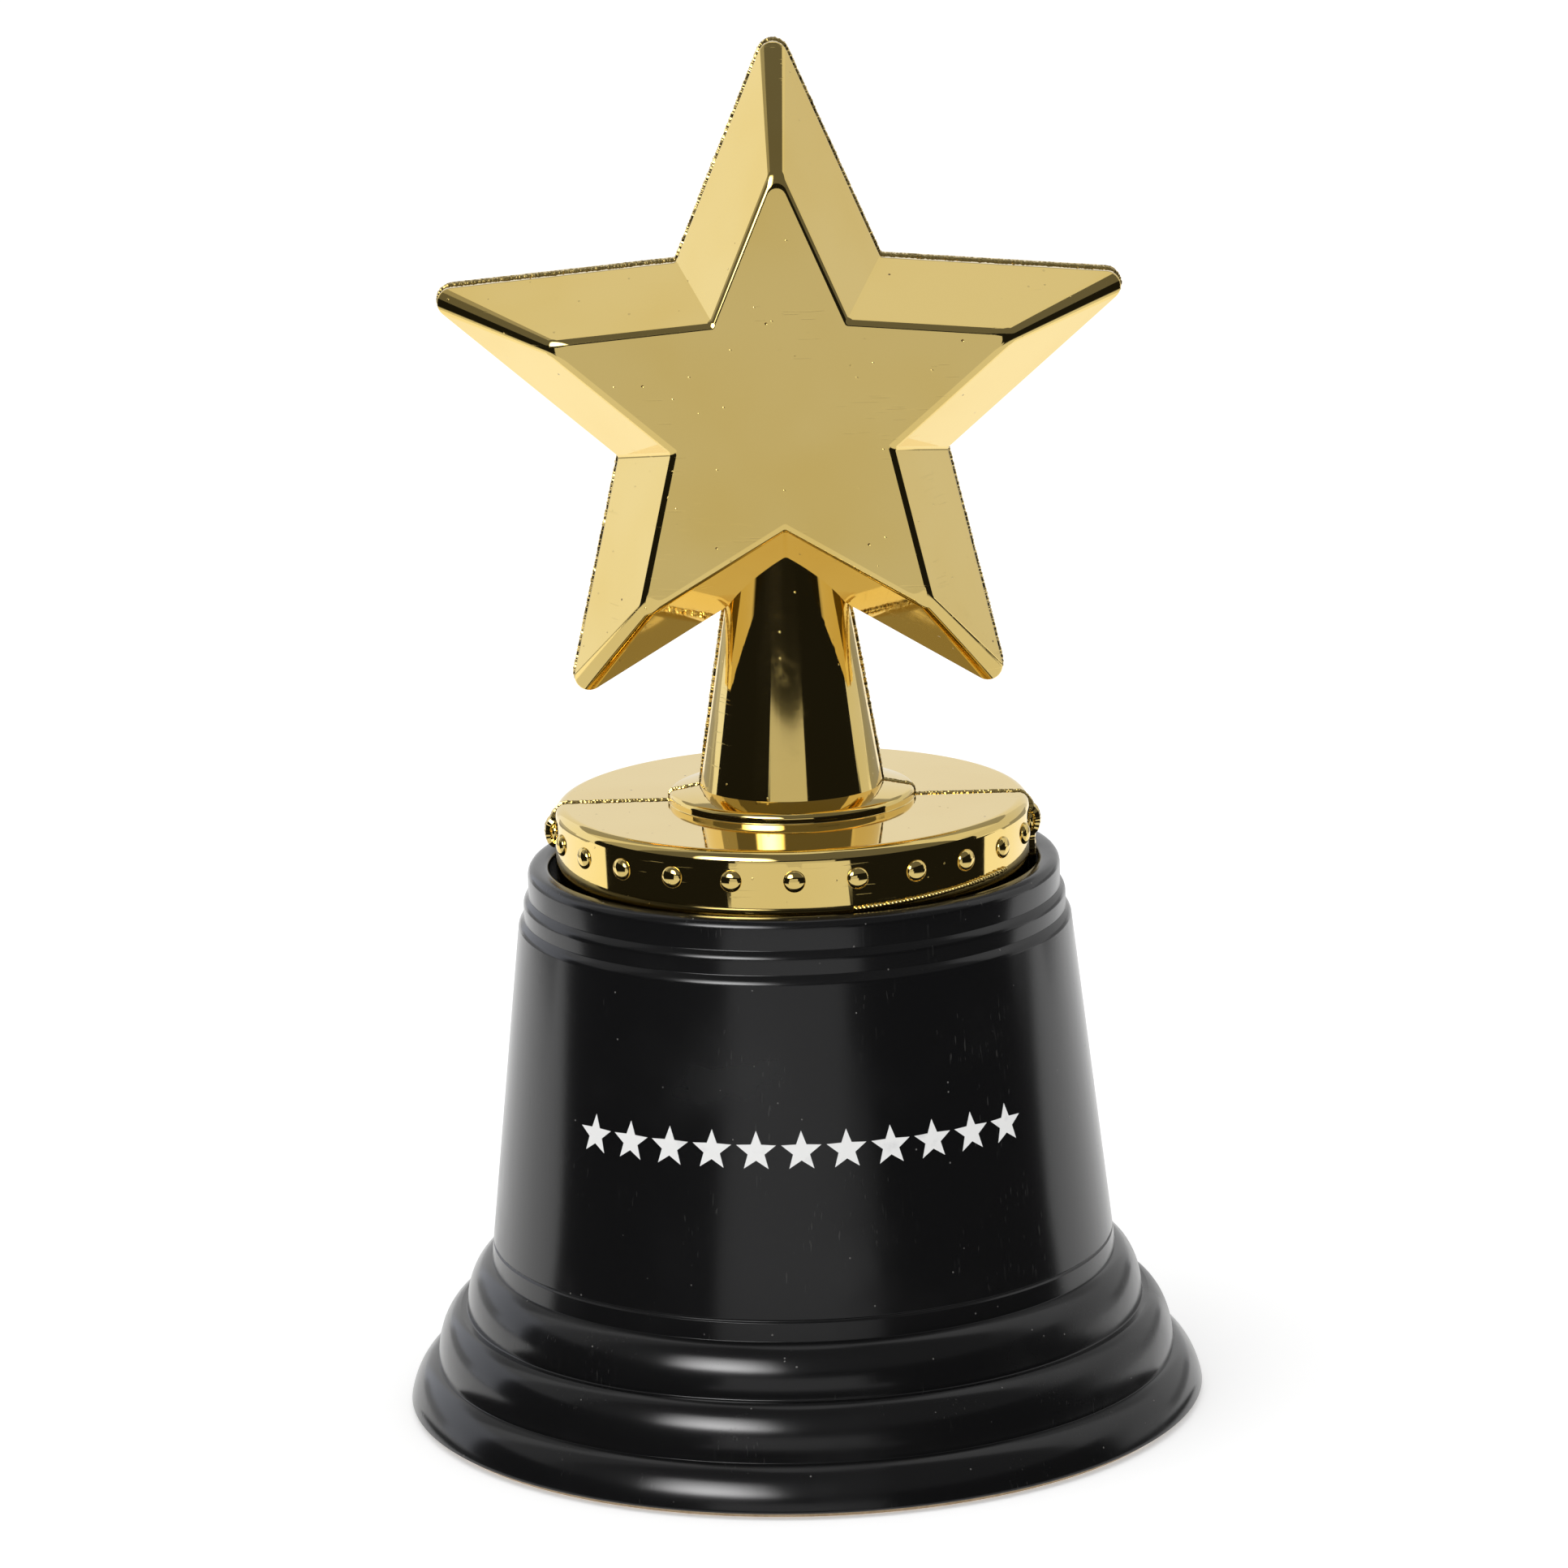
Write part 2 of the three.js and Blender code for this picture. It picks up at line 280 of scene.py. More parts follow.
def bake_modifiers(piece: Object) -> None:
    """Turns a piece's evaluated shape into its plain mesh and removes its modifiers.

    Args:
        piece: The piece, whose old mesh is deleted.
    """
    graph = bpy.context.evaluated_depsgraph_get()
    mesh = bpy.data.meshes.new_from_object(
        piece.evaluated_get(graph), preserve_all_data_layers=True, depsgraph=graph
    )
    piece.modifiers.clear()
    old = piece.data
    piece.data = mesh
    bpy.data.meshes.remove(old)
    mesh.name = piece.name


def combine(body: Object, tool: Object, cut: Cut) -> None:
    """Changes a solid by a second one, which is used up.

    Args:
        body: The solid that is changed.
        tool: The solid that changes it.
        cut: How.
    """
    modifier = body.modifiers.new("cut", "BOOLEAN")
    modifier.solver = "MANIFOLD"
    modifier.operation = cut.value
    modifier.object = tool
    bake_modifiers(body)
    bpy.data.objects.remove(tool)


def smooth(piece: Object, sharp_degrees: float) -> None:
    """Shades a piece smooth, with creases above an angle, and keeps its large faces flat.

    Args:
        piece: The piece to shade.
        sharp_degrees: Edges that turn by more than this stay sharp.
    """
    mesh = piece.data
    mesh.polygons.foreach_set("use_smooth", [True] * len(mesh.polygons))
    mesh.set_sharp_from_angle(angle=math.radians(sharp_degrees))
    modifier = piece.modifiers.new("weighted", "WEIGHTED_NORMAL")
    modifier.mode = "FACE_AREA"
    modifier.weight = 100
    modifier.keep_sharp = True
    bake_modifiers(piece)


def dress(piece: Object, material: Material) -> None:
    """Gives a piece one material all over."""
    piece.data.materials.clear()
    piece.data.materials.append(material)


# Node trees


class Value:
    """A number that varies over a surface: a socket with arithmetic."""

    def __init__(self, graph: Graph, socket: NodeSocket) -> None:
        """Wraps an output socket of a graph."""
        self.graph = graph
        self.socket = socket

    def _math(self, operation: str, *terms: Value | float) -> Value:
        """The result of one Math node on its operands."""
        inputs = dict(enumerate(terms))
        return Value(self.graph, self.graph.made("ShaderNodeMath", inputs, operation=operation))

    def __add__(self, other: Value | float) -> Value:
        """The sum."""
        return self._math("ADD", self, other)

    def __sub__(self, other: Value | float) -> Value:
        """The difference."""
        return self._math("SUBTRACT", self, other)

    def __mul__(self, other: Value | float) -> Value:
        """The product."""
        return self._math("MULTIPLY", self, other)

    def __truediv__(self, other: Value | float) -> Value:
        """The quotient."""
        return self._math("DIVIDE", self, other)

    def __rsub__(self, other: float) -> Value:
        """A number less this."""
        return self._math("SUBTRACT", other, self)

    __radd__ = __add__
    __rmul__ = __mul__

    def sine(self) -> Value:
        """The sine of this angle."""
        return self._math("SINE", self)

    def cosine(self) -> Value:
        """The cosine of this angle."""
        return self._math("COSINE", self)

    def magnitude(self) -> Value:
        """This without its sign."""
        return self._math("ABSOLUTE", self)

    def least(self, other: Value | float) -> Value:
        """The smaller of two."""
        return self._math("MINIMUM", self, other)

    def most(self, other: Value | float) -> Value:
        """The larger of two."""
        return self._math("MAXIMUM", self, other)

    def eased(self, low: float, high: float) -> Value:
        """0 below low, 1 above high, and a smooth step between."""
        inputs = {"Value": self, "From Min": low, "From Max": high}
        step = self.graph.made("ShaderNodeMapRange", inputs, interpolation_type="SMOOTHSTEP")
        return Value(self.graph, step)


class Graph:
    """A node tree and the calls that build it."""

    def __init__(self, tree: NodeTree) -> None:
        """Wraps a tree, which may be empty."""
        self.tree = tree

    def node(self, kind: str, inputs: Inputs | None = None, **settings: object) -> Node:
        """Adds a node.

        Args:
            kind: The node's type.
            inputs: Values or links for its sockets, by name or number.
            settings: Its properties, set first.

        Returns:
            The node.
        """
        node = self.tree.nodes.new(kind)
        for name, value in settings.items():
            setattr(node, name, value)
        for key, value in (inputs or {}).items():
            if isinstance(value, (Value, NodeSocket)):
                self.tree.links.new(value.socket if isinstance(value, Value) else value, node.inputs[key])
            else:
                node.inputs[key].default_value = value
        return node

    def made(self, kind: str, inputs: Inputs | None = None, **settings: object) -> NodeSocket:
        """Adds a node in the same way and returns its first output."""
        return self.node(kind, inputs, **settings).outputs[0]

    def split(self, vector: NodeSocket) -> list[Value]:
        """A vector's X, Y and Z."""
        return [Value(self, out) for out in self.node("ShaderNodeSeparateXYZ", {"Vector": vector}).outputs]


class GeometryTree(Graph):
    """A Geometry Nodes tree with named inputs, run on one object."""

    def __init__(self, name: str, inputs: Mapping[str, float | int]) -> None:
        """Makes the tree and its interface.

        Args:
            name: The tree's name.
            inputs: Named sizes, with their values.
        """
        super().__init__(bpy.data.node_groups.new(name, "GeometryNodeTree"))
        face = self.tree.interface
        face.new_socket("Geometry", in_out="INPUT", socket_type="NodeSocketGeometry")
        face.new_socket("Geometry", in_out="OUTPUT", socket_type="NodeSocketGeometry")
        self.values = dict(inputs)
        for label, value in inputs.items():
            kind = "NodeSocketInt" if isinstance(value, int) else "NodeSocketFloat"
            face.new_socket(label, in_out="INPUT", socket_type=kind)
        self.start = self.node("NodeGroupInput")

    def size(self, label: str) -> Value:
        """One of the named inputs."""
        return Value(self, self.start.outputs[label])

    def position(self) -> NodeSocket:
        """Each point's own place."""
        return self.made("GeometryNodeInputPosition")

    def vector(self, **parts: Value | float) -> NodeSocket:
        """A vector of X, Y and Z, each 0 unless given."""
        return self.made("ShaderNodeCombineXYZ", parts)

    def around(self, radius: Value, angle: Value, height: Value) -> NodeSocket:
        """The place at a radius from the Z axis, an angle to the right of the front, and a height."""
        return self.vector(X=radius * angle.sine(), Y=0.0 - radius * angle.cosine(), Z=height)

    def finish(self, geometry: NodeSocket, material: Material) -> None:
        """Ends the tree in Realize Instances and Set Material.

        Args:
            geometry: The geometry that the tree makes.
            material: Its material.
        """
        real = self.made("GeometryNodeRealizeInstances", {"Geometry": geometry})
        dressed = self.made("GeometryNodeSetMaterial", {"Geometry": real, "Material": material})
        self.node("NodeGroupOutput", {"Geometry": dressed})

    def run(self, piece: Object) -> Object:
        """Applies the tree to a piece and leaves a plain mesh.

        Args:
            piece: The object whose mesh goes in.

        Returns:
            The same object.
        """
        modifier = piece.modifiers.new("nodes", "NODES")
        modifier.node_group = self.tree
        for item in self.tree.interface.items_tree:
            if item.item_type == "SOCKET" and item.in_out == "INPUT" and item.name in self.values:
                modifier[item.identifier] = self.values[item.name]
        bake_modifiers(piece)
        return piece


# Finishes


class Surface(Graph):
    """One material's nodes, with the patterns that the finishes share. Patterns use object coordinates."""

    def __init__(self, name: str) -> None:
        """Makes an empty material."""
        self.material = bpy.data.materials.new(name)
        self.material.use_nodes = True
        super().__init__(self.material.node_tree)
        self.tree.nodes.clear()
        self.place = self.node("ShaderNodeTexCoord").outputs["Object"]

    def stretched(self, scale: Triple, turn: Triple = (0, 0, 0)) -> NodeSocket:
        """Object coordinates turned by degrees and stretched, for a pattern with a direction."""
        angles = tuple(math.radians(t) for t in turn)
        return self.made("ShaderNodeMapping", {"Vector": self.place, "Rotation": angles, "Scale": scale})

    def noise(self, per_metre: float, detail: float = 2.0, place: NodeSocket | None = None) -> Value:
        """Soft noise from 0 to 1.

        Args:
            per_metre: Waves in a metre.
            detail: Finer layers on top.
            place: Other coordinates.

        Returns:
            The noise.
        """
        inputs = {"Vector": place or self.place, "Scale": per_metre, "Detail": detail, "Roughness": 0.55}
        return Value(self, self.made("ShaderNodeTexNoise", inputs))

    def specks(self, per_metre: float, radius: float, share: float) -> Value:
        """Small round specks, 1 inside a speck and 0 outside.

        Args:
            per_metre: Cells in a metre.
            radius: A speck's radius as a share of its cell.
            share: How many of the cells hold a speck, from 0 to 1.

        Returns:
            The mask.
        """
        node = self.node("ShaderNodeTexVoronoi", {"Vector": self.place, "Scale": per_metre}, feature="F1")
        near = 1 - Value(self, node.outputs["Distance"]).eased(radius * 0.6, radius)
        number = Value(self, self.made("ShaderNodeSeparateColor", {"Color": node.outputs["Color"]}))
        return near * (1 - number.eased(share * 0.98, share))

    def seam(self, full: float, none: float) -> Value:
        """The strip along the plane y = 0: 1 up to a distance in metres, and gone at a second one."""
        return 1 - self.split(self.place)[1].magnitude().eased(full, none)

    def scratches(self, scale: Triple, turn: Triple, low: float, high: float) -> Value:
        """Short fine scratches in one direction.

        Args:
            scale: Stretch of the noise: small along the scratch, large across it.
            turn: The direction, as turns in degrees.
            low: Noise level where a scratch begins to show.
            high: Noise level where it is full.

        Returns:
            The mask.
        """
        lines = self.noise(1.0, 1.0, self.stretched(scale, turn)).eased(low, high)
        return lines * self.noise(140.0, 1.0).eased(0.5, 0.62)

    def blend(self, share: Value, first: object, second: object) -> NodeSocket:
        """A colour between two colours or colour sockets: 0 for the first, 1 for the second."""
        return self.node("ShaderNodeMix", {0: share, 6: first, 7: second}, data_type="RGBA").outputs[2]

    def bump(self, height: Value, depth: float) -> NodeSocket:
        """A normal from a height, where a height of 1 stands for a depth in metres."""
        return self.made("ShaderNodeBump", {"Strength": 1.0, "Distance": depth, "Height": height})

    def close(self, inputs: Inputs, shader: str = "ShaderNodeBsdfPrincipled") -> Material:
        """Adds the surface shader and the output, and returns the finished material."""
        self.node("ShaderNodeOutputMaterial", {"Surface": self.made(shader, inputs)})
        return self.material


def grey(level: float) -> tuple[float, float, float, float]:
    """A neutral colour."""
    return (level, level, level, 1.0)


@dataclass(frozen=True)
class GoldPlating:
    """Vacuum-metallised gold over moulded plastic: a mirror with faint ripples, pits and rubbed patches."""

    gold: Sequence[float] = (0.83, 0.625, 0.215, 1.0)
    deep_gold: Sequence[float] = (0.79, 0.57, 0.16, 1.0)
    pit_gold: Sequence[float] = (0.22, 0.13, 0.03, 1.0)
    edge_tint: Sequence[float] = (1.0, 0.97, 0.86, 1.0)
    polish: float = 0.05
    rubbed: float = 0.12
    lacquer: float = 0.42
    relief: float = 0.000006

    def material(self) -> Material:
        """The finished material."""
        surface = Surface("gold_metallised")
        cloud = surface.noise(45.0, 3.0).eased(0.4, 0.75)
        pits = surface.specks(900.0, 0.11, 0.05)
        grit = surface.specks(1500.0, 0.16, 0.05)
        seam = surface.seam(0.0003, 0.0007)
        grain = surface.noise(5200.0, 2.0).eased(0.44, 0.6) * seam
        rub = surface.noise(85.0, 5.0).eased(0.6, 0.74) * surface.noise(900.0, 3.0).eased(0.4, 0.7)
        fine = surface.scratches((260.0, 260.0, 5200.0), (18.0, 35.0, 10.0), 0.66, 0.7)
        tint = surface.blend(cloud, self.gold, self.deep_gold)
        ripple = surface.noise(150.0, 1.0) * 0.9 + surface.noise(26.0, 0.0) * 3.0
        return surface.close({
            "Base Color": surface.blend((pits + grain * 0.4).least(1.0), tint, self.pit_gold),
            "Metallic": 1.0,
            "Roughness": (rub * self.rubbed + fine * 0.1 + seam * 0.1 + self.polish).least(0.5),
            "Normal": surface.bump(ripple - pits * 3.0 - fine * 0.3 + grit * 3.0, self.relief),
            "Specular Tint": self.edge_tint,
            "Coat Weight": self.lacquer,
            "Coat Roughness": 0.03,
            "Coat IOR": 1.45,
        })


@dataclass(frozen=True)
class BlackMoulding:
    """Black moulded styrene: glossy, with dust, handling scratches and a faint haze."""

    black: Sequence[float] = (0.005, 0.005, 0.0053, 1.0)
    dust: Sequence[float] = (0.16, 0.155, 0.145, 1.0)
    gloss: float = 0.175
    haze: float = 0.14
    relief: float = 0.000007

    def material(self) -> Material:
        """The finished material."""
        surface = Surface("base_black")
        haze = surface.noise(60.0, 4.0).eased(0.5, 0.74)
        dust = surface.specks(1100.0, 0.1, 0.12)
        lint = surface.scratches((5200.0, 5200.0, 480.0), (25.0, 8.0, 0.0), 0.7, 0.74)
        marks = surface.scratches((4200.0, 4200.0, 150.0), (60.0, 12.0, 30.0), 0.68, 0.74)
        dirt = (dust * 0.7 + lint * 0.12 + marks * 0.03).least(1.0)
        height = surface.noise(420.0, 3.0) * 0.6 + surface.noise(45.0, 1.0) * 3.0 - marks * 0.25 + dust
        return surface.close({
            "Base Color": surface.blend(dirt, self.black, self.dust),
            "Roughness": (haze * self.haze + marks * 0.06 + dust * 0.3 + self.gloss).least(0.7),
            "Normal": surface.bump(height, self.relief),
            "IOR": 1.46,
        })


@dataclass(frozen=True)
class WhiteInk:
    """Pad-printed white ink: even, slightly satin, with a little texture."""

    white: Sequence[float] = (0.80, 0.80, 0.79, 1.0)
    thin: Sequence[float] = (0.66, 0.66, 0.66, 1.0)
    relief: float = 0.000004

    def material(self) -> Material:
        """The finished material."""
        surface = Surface("white_ink")
        thin = surface.noise(700.0, 4.0).eased(0.55, 0.8)
        return surface.close({
            "Base Color": surface.blend(thin, self.white, self.thin),
            "Roughness": thin * 0.15 + 0.38,
            "Normal": surface.bump(surface.noise(2600.0, 2.0), self.relief),
        })


@dataclass(frozen=True)
class KraftCard:
    """Plain brown card: short fibres, darker flecks and a dry surface."""

    pale: Sequence[float] = (0.56, 0.42, 0.27, 1.0)
    dark: Sequence[float] = (0.40, 0.28, 0.16, 1.0)
    relief: float = 0.00005

    def material(self) -> Material:
        """The finished material."""
        surface = Surface("kraft_card")
        along = surface.noise(1.0, 4.0, surface.stretched((420.0, 2600.0, 900.0), (0, 0, 20)))
        over = surface.noise(1.0, 4.0, surface.stretched((2400.0, 500.0, 900.0), (0, 0, -35)))
        fibre = (along + over) * 0.5
        fleck = surface.specks(800.0, 0.2, 0.08)
        share = (fibre.eased(0.4, 0.62) * 0.7 + fleck * 0.6).least(1.0)
        return surface.close({
            "Base Color": surface.blend(share, self.pale, self.dark),
            "Roughness": fibre * 0.15 + 0.8,
            "Normal": surface.bump(fibre, self.relief),
        })


@dataclass(frozen=True)
class ZincSteel:
    """Bright zinc-plated steel, faintly turned and blotched."""

    bright: Sequence[float] = (0.66, 0.67, 0.69, 1.0)
    dull: Sequence[float] = (0.48, 0.49, 0.50, 1.0)
    relief: float = 0.00001

    def material(self) -> Material:
        """The finished material."""
        surface = Surface("zinc_steel")
        blotch = surface.noise(520.0, 4.0).eased(0.35, 0.7)
        turned_marks = surface.noise(1.0, 2.0, surface.stretched((260.0, 260.0, 6000.0)))
        return surface.close({
            "Base Color": surface.blend(blotch, self.bright, self.dull),
            "Metallic": 1.0,
            "Roughness": blotch * 0.14 + turned_marks * 0.1 + 0.2,
            "Normal": surface.bump(turned_marks, self.relief),
        })


# Frame


@dataclass(frozen=True)
class Heights:
    """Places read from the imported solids, in millimetres."""

    foot_radius: float
    rim: float
    lip_top: float
    seat: float
    stud_reach: float
    star_top: float
    card_radius: float
    card_top: float

    @classmethod
    def read(cls) -> Heights:
        """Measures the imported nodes' boxes."""
        shell_low, shell_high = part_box("base_shell")
        half_low, half_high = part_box("figure_front_half")
        card_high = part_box("base_card")[1]
        return cls(
            foot_radius=shell_high.x / MM,
            rim=shell_low.z / MM,
            lip_top=shell_high.z / MM,
            seat=half_low.z / MM,
            stud_reach=-half_low.y / MM,
            star_top=half_high.z / MM,
            card_radius=card_high.x / MM,
            card_top=card_high.z / MM,
        )


# Base


@dataclass(frozen=True)
class Roll:
    """One of the foot's rounded steps: how far it comes in, how far it rises, and the step above it."""

    run: float
    rise: float
    step: float
    start: float = 0.0


@dataclass
class Base:
    """The hollow black base and the card that closes it."""

    heights: Heights
    rolls: tuple[Roll, ...] = (Roll(2.3, 3.4, 0.1, 0.29), Roll(2.0, 4.35, 0.55), Roll(2.1, 4.2, 0.1))
    roll_end: float = 1.4
    roll_steps: int = 16
    rim_land: float = 1.9
    wall_height: float = 29.1
    wall: float = 1.6
    groove: Triple = (1.5, 0.3, 0.15)
    reed_height: float = 1.9
    reed_step: float = 0.43
    shoulder_step: float = 0.4
    soft: float = 1.2
    soft_drop: float = 0.35
    soft_rise: float = 0.13
    lip_wall: float = 1.8
    lip_rounds: Point = (0.8, 0.5)
    disc_fit: float = 0.6
    deck: float = 1.8
    recess: float = 2.55
    stud_stand: float = 0.45
    boss_radius: float = 7.0
    boss_height: float = 1.2
    screw_hole: float = 2.9
    segments: int = 288
    crease: float = 0.12
    inner_rounds: Triple = (0.3, 0.4, 0.8)
    corner_steps: int = 4

    def __post_init__(self) -> None:
        """Works out the wall's ends from the foot and the disc."""
        self.wall_foot_z = self.heights.rim + sum(r.rise for r in self.rolls)
        self.wall_top_z = self.wall_foot_z + self.wall_height
        self.lip_inner = self.heights.stud_reach - self.stud_stand + self.disc_fit
        self.lip_radius = self.lip_inner + self.lip_wall
        self.reed_radius = self.lip_radius + self.reed_step
        self.wall_top = self.reed_radius + self.shoulder_step
        self.wall_foot = self.heights.foot_radius - sum(r.run + r.step for r in self.rolls)

    def wall_radius(self, z: float) -> float:
        """The wall's outer radius at a height."""
        share = (z - self.wall_foot_z) / self.wall_height
        return self.wall_foot + (self.wall_top - self.wall_foot) * share

    def roll_corners(self) -> list[Corner]:
        """The three rounded steps.

        Returns:
            Their corners, from the rim up.
        """
        radius, z = self.heights.foot_radius, self.heights.rim
        rounds = [self.crease, *[0.0] * (self.roll_steps - 1), self.crease]
        corners: list[Corner] = []
        for roll in self.rolls:
            wide = roll.run / (math.cos(roll.start) - math.cos(self.roll_end))
            tall = roll.rise / (math.sin(self.roll_end) - math.sin(roll.start))
            centre = (radius - wide * math.cos(roll.start), z - tall * math.sin(roll.start))
            points = arc(centre, (wide, tall), roll.start, self.roll_end, self.roll_steps)
            corners += [Corner(*point, soft) for point, soft in zip(points, rounds)]
            radius -= roll.run + roll.step
            z += roll.rise
        return corners

    def profile(self) -> list[Point]:
        """The shell's section.

        Returns:
            Its points, from the rim up the outside, over the deck and back down the inside.
        """
        rise, width, depth = self.groove
        groove_z = self.wall_foot_z + rise
        shoulder_z = self.wall_top_z - self.soft_drop
        reed_top = self.wall_top_z + self.reed_height
        lip_top = self.heights.lip_top
        deck_z = lip_top - self.recess
        under = deck_z - self.deck
        crease = self.crease
        return rounded([
            *self.roll_corners(),
            Corner(self.wall_radius(self.wall_foot_z), self.wall_foot_z, crease),
            Corner(self.wall_radius(groove_z), groove_z, crease / 2),
            Corner(self.wall_radius(groove_z) - depth, groove_z + width / 2, crease / 2),
            Corner(self.wall_radius(groove_z + width), groove_z + width, crease / 2),
            Corner(self.wall_radius(shoulder_z), shoulder_z, self.soft),
            Corner(self.reed_radius, self.wall_top_z + self.soft_rise, crease),
            Corner(self.reed_radius, reed_top - self.soft_drop, self.soft),
            Corner(self.lip_radius, reed_top + self.soft_rise, crease),
            Corner(self.lip_radius, lip_top, self.lip_rounds[0]),
            Corner(self.lip_inner, lip_top, self.lip_rounds[1]),
            Corner(self.lip_inner, deck_z, crease),
            Corner(self.screw_hole, deck_z, crease),
            Corner(self.screw_hole, under - self.boss_height, crease),
            Corner(self.boss_radius, under - self.boss_height, crease),
            Corner(self.boss_radius, under, self.inner_rounds[0]),
            Corner(self.wall_top - self.wall, under, self.inner_rounds[1]),
            Corner(self.wall_foot - self.wall, self.wall_foot_z, self.inner_rounds[2]),
            Corner(self.heights.foot_radius - self.rim_land, self.heights.rim, crease),
        ], self.corner_steps, closed=True)

    def build_shell(self, material: Material) -> Object:
        """The moulded shell.

        Args:
            material: Its finish.

        Returns:
            The piece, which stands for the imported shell.
        """
        shell = turned("base_shell_moulding", self.profile(), self.segments, loop=True)
        smooth(shell, 50.0)
        dress(shell, material)
        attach(shell, ROOT)
        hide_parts("base_shell")
        return shell

    def build_card(self, material: Material) -> Object:
        """The card disc under the foot.

        Args:
            material: Its finish.

        Returns:
            The piece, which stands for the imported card.
        """
        radius, top = self.heights.card_radius, self.heights.card_top
        edge = top / 4
        corners = [Corner(0, 0), Corner(radius, 0, edge), Corner(radius, top, edge), Corner(0, top)]
        card = turned("base_card_disc", rounded(corners, 3), self.segments // 2)
        smooth(card, 40.0)
        dress(card, material)
        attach(card, ROOT)
        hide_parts("base_card")
        return card


@dataclass
class PrintedBand:
    """A row of white stars printed on the front of the base. It stands in for a buyer's own text."""

    base: Base
    low: float = 26.1
    height: float = 3.2
    stars: int = 11
    pitch: float = 3.62
    ink: float = 0.03
    waist: float = 0.42

    def build(self, material: Material) -> Object:
        """Prints the band on the wall.

        Args:
            material: The ink.

        Returns:
            The piece.
        """
        middle = self.low + self.height / 2
        tree = GeometryTree("printed_band", {
            "Stars": self.stars,
            "Pitch": self.pitch * MM,
            "Star Radius": self.height / 2 / math.cos(math.pi / 10) * MM,
            "Ink": self.ink * MM,
            "Wall Radius": self.base.wall_radius(middle) * MM,
            "Wall Slope": (self.base.wall_top - self.base.wall_foot) / self.base.wall_height,
            "Height": middle * MM,
        })
        stars, pitch, radius = (tree.size(label) for label in ("Stars", "Pitch", "Star Radius"))
        outline = tree.made("GeometryNodeCurveStar", {
            "Points": 5, "Inner Radius": radius * self.waist, "Outer Radius": radius, "Twist": 0.0,
        })
        upright = tree.made("GeometryNodeTransform", {"Geometry": outline, "Rotation": (0, 0, math.pi / 2)})
        filled = tree.made("GeometryNodeFillCurve", {"Curve": upright}, mode="TRIANGLES")
        star = tree.made("GeometryNodeSubdivideMesh", {"Mesh": filled, "Level": 3})
        row = tree.made("GeometryNodeMeshLine", {
            "Count": stars,
            "Start Location": tree.vector(X=0.0 - (stars - 1) * pitch * 0.5),
            "Offset": tree.vector(X=pitch),
        }, mode="OFFSET")
        spread = tree.made("GeometryNodeInstanceOnPoints", {"Points": row, "Instance": star})
        flat = tree.made("GeometryNodeRealizeInstances", {"Geometry": spread})
        tree.finish(self._wrapped(tree, self._thickened(tree, flat)), material)
        band = tree.run(new_piece("printed_band"))
        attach(band, ROOT)
        return band

    @staticmethod
    def _thickened(tree: GeometryTree, flat: NodeSocket) -> NodeSocket:
        """Gives flat faces the ink's thickness, closed all round.

        Args:
            tree: The tree that makes the band.
            flat: The flat faces.

        Returns:
            The solid print.
        """
        inputs = {"Mesh": flat, "Offset Scale": tree.size("Ink") * 2.0, "Individual": False}
        raised = tree.made("GeometryNodeExtrudeMesh", inputs, mode="FACES")
        under = tree.made("GeometryNodeFlipFaces", {"Mesh": flat})
        both = tree.node("GeometryNodeJoinGeometry")
        for part in (raised, under):
            tree.tree.links.new(part, both.inputs[0])
        return tree.made("GeometryNodeMergeByDistance", {"Geometry": both.outputs[0], "Distance": 1e-7})

    @staticmethod
    def _wrapped(tree: GeometryTree, flat: NodeSocket) -> NodeSocket:
        """Bends the flat print round the tapered wall: X runs round it, Y up it and Z out of it.

        Args:
            tree: The tree that makes the band.
            flat: The solid print, still flat.

        Returns:
            The bent print.
        """
        across, up, out = tree.split(tree.position())
        wall = tree.size("Wall Radius")
        radius = wall + up * tree.size("Wall Slope") + out - tree.size("Ink")
        place = tree.around(radius, across / wall, up + tree.size("Height"))
        return tree.made("GeometryNodeSetPosition", {"Geometry": flat, "Position": place})


# Figure


class Side(Enum):
    """The half in front of the seam, or the one behind it."""

    FRONT = -1
    REAR = 1


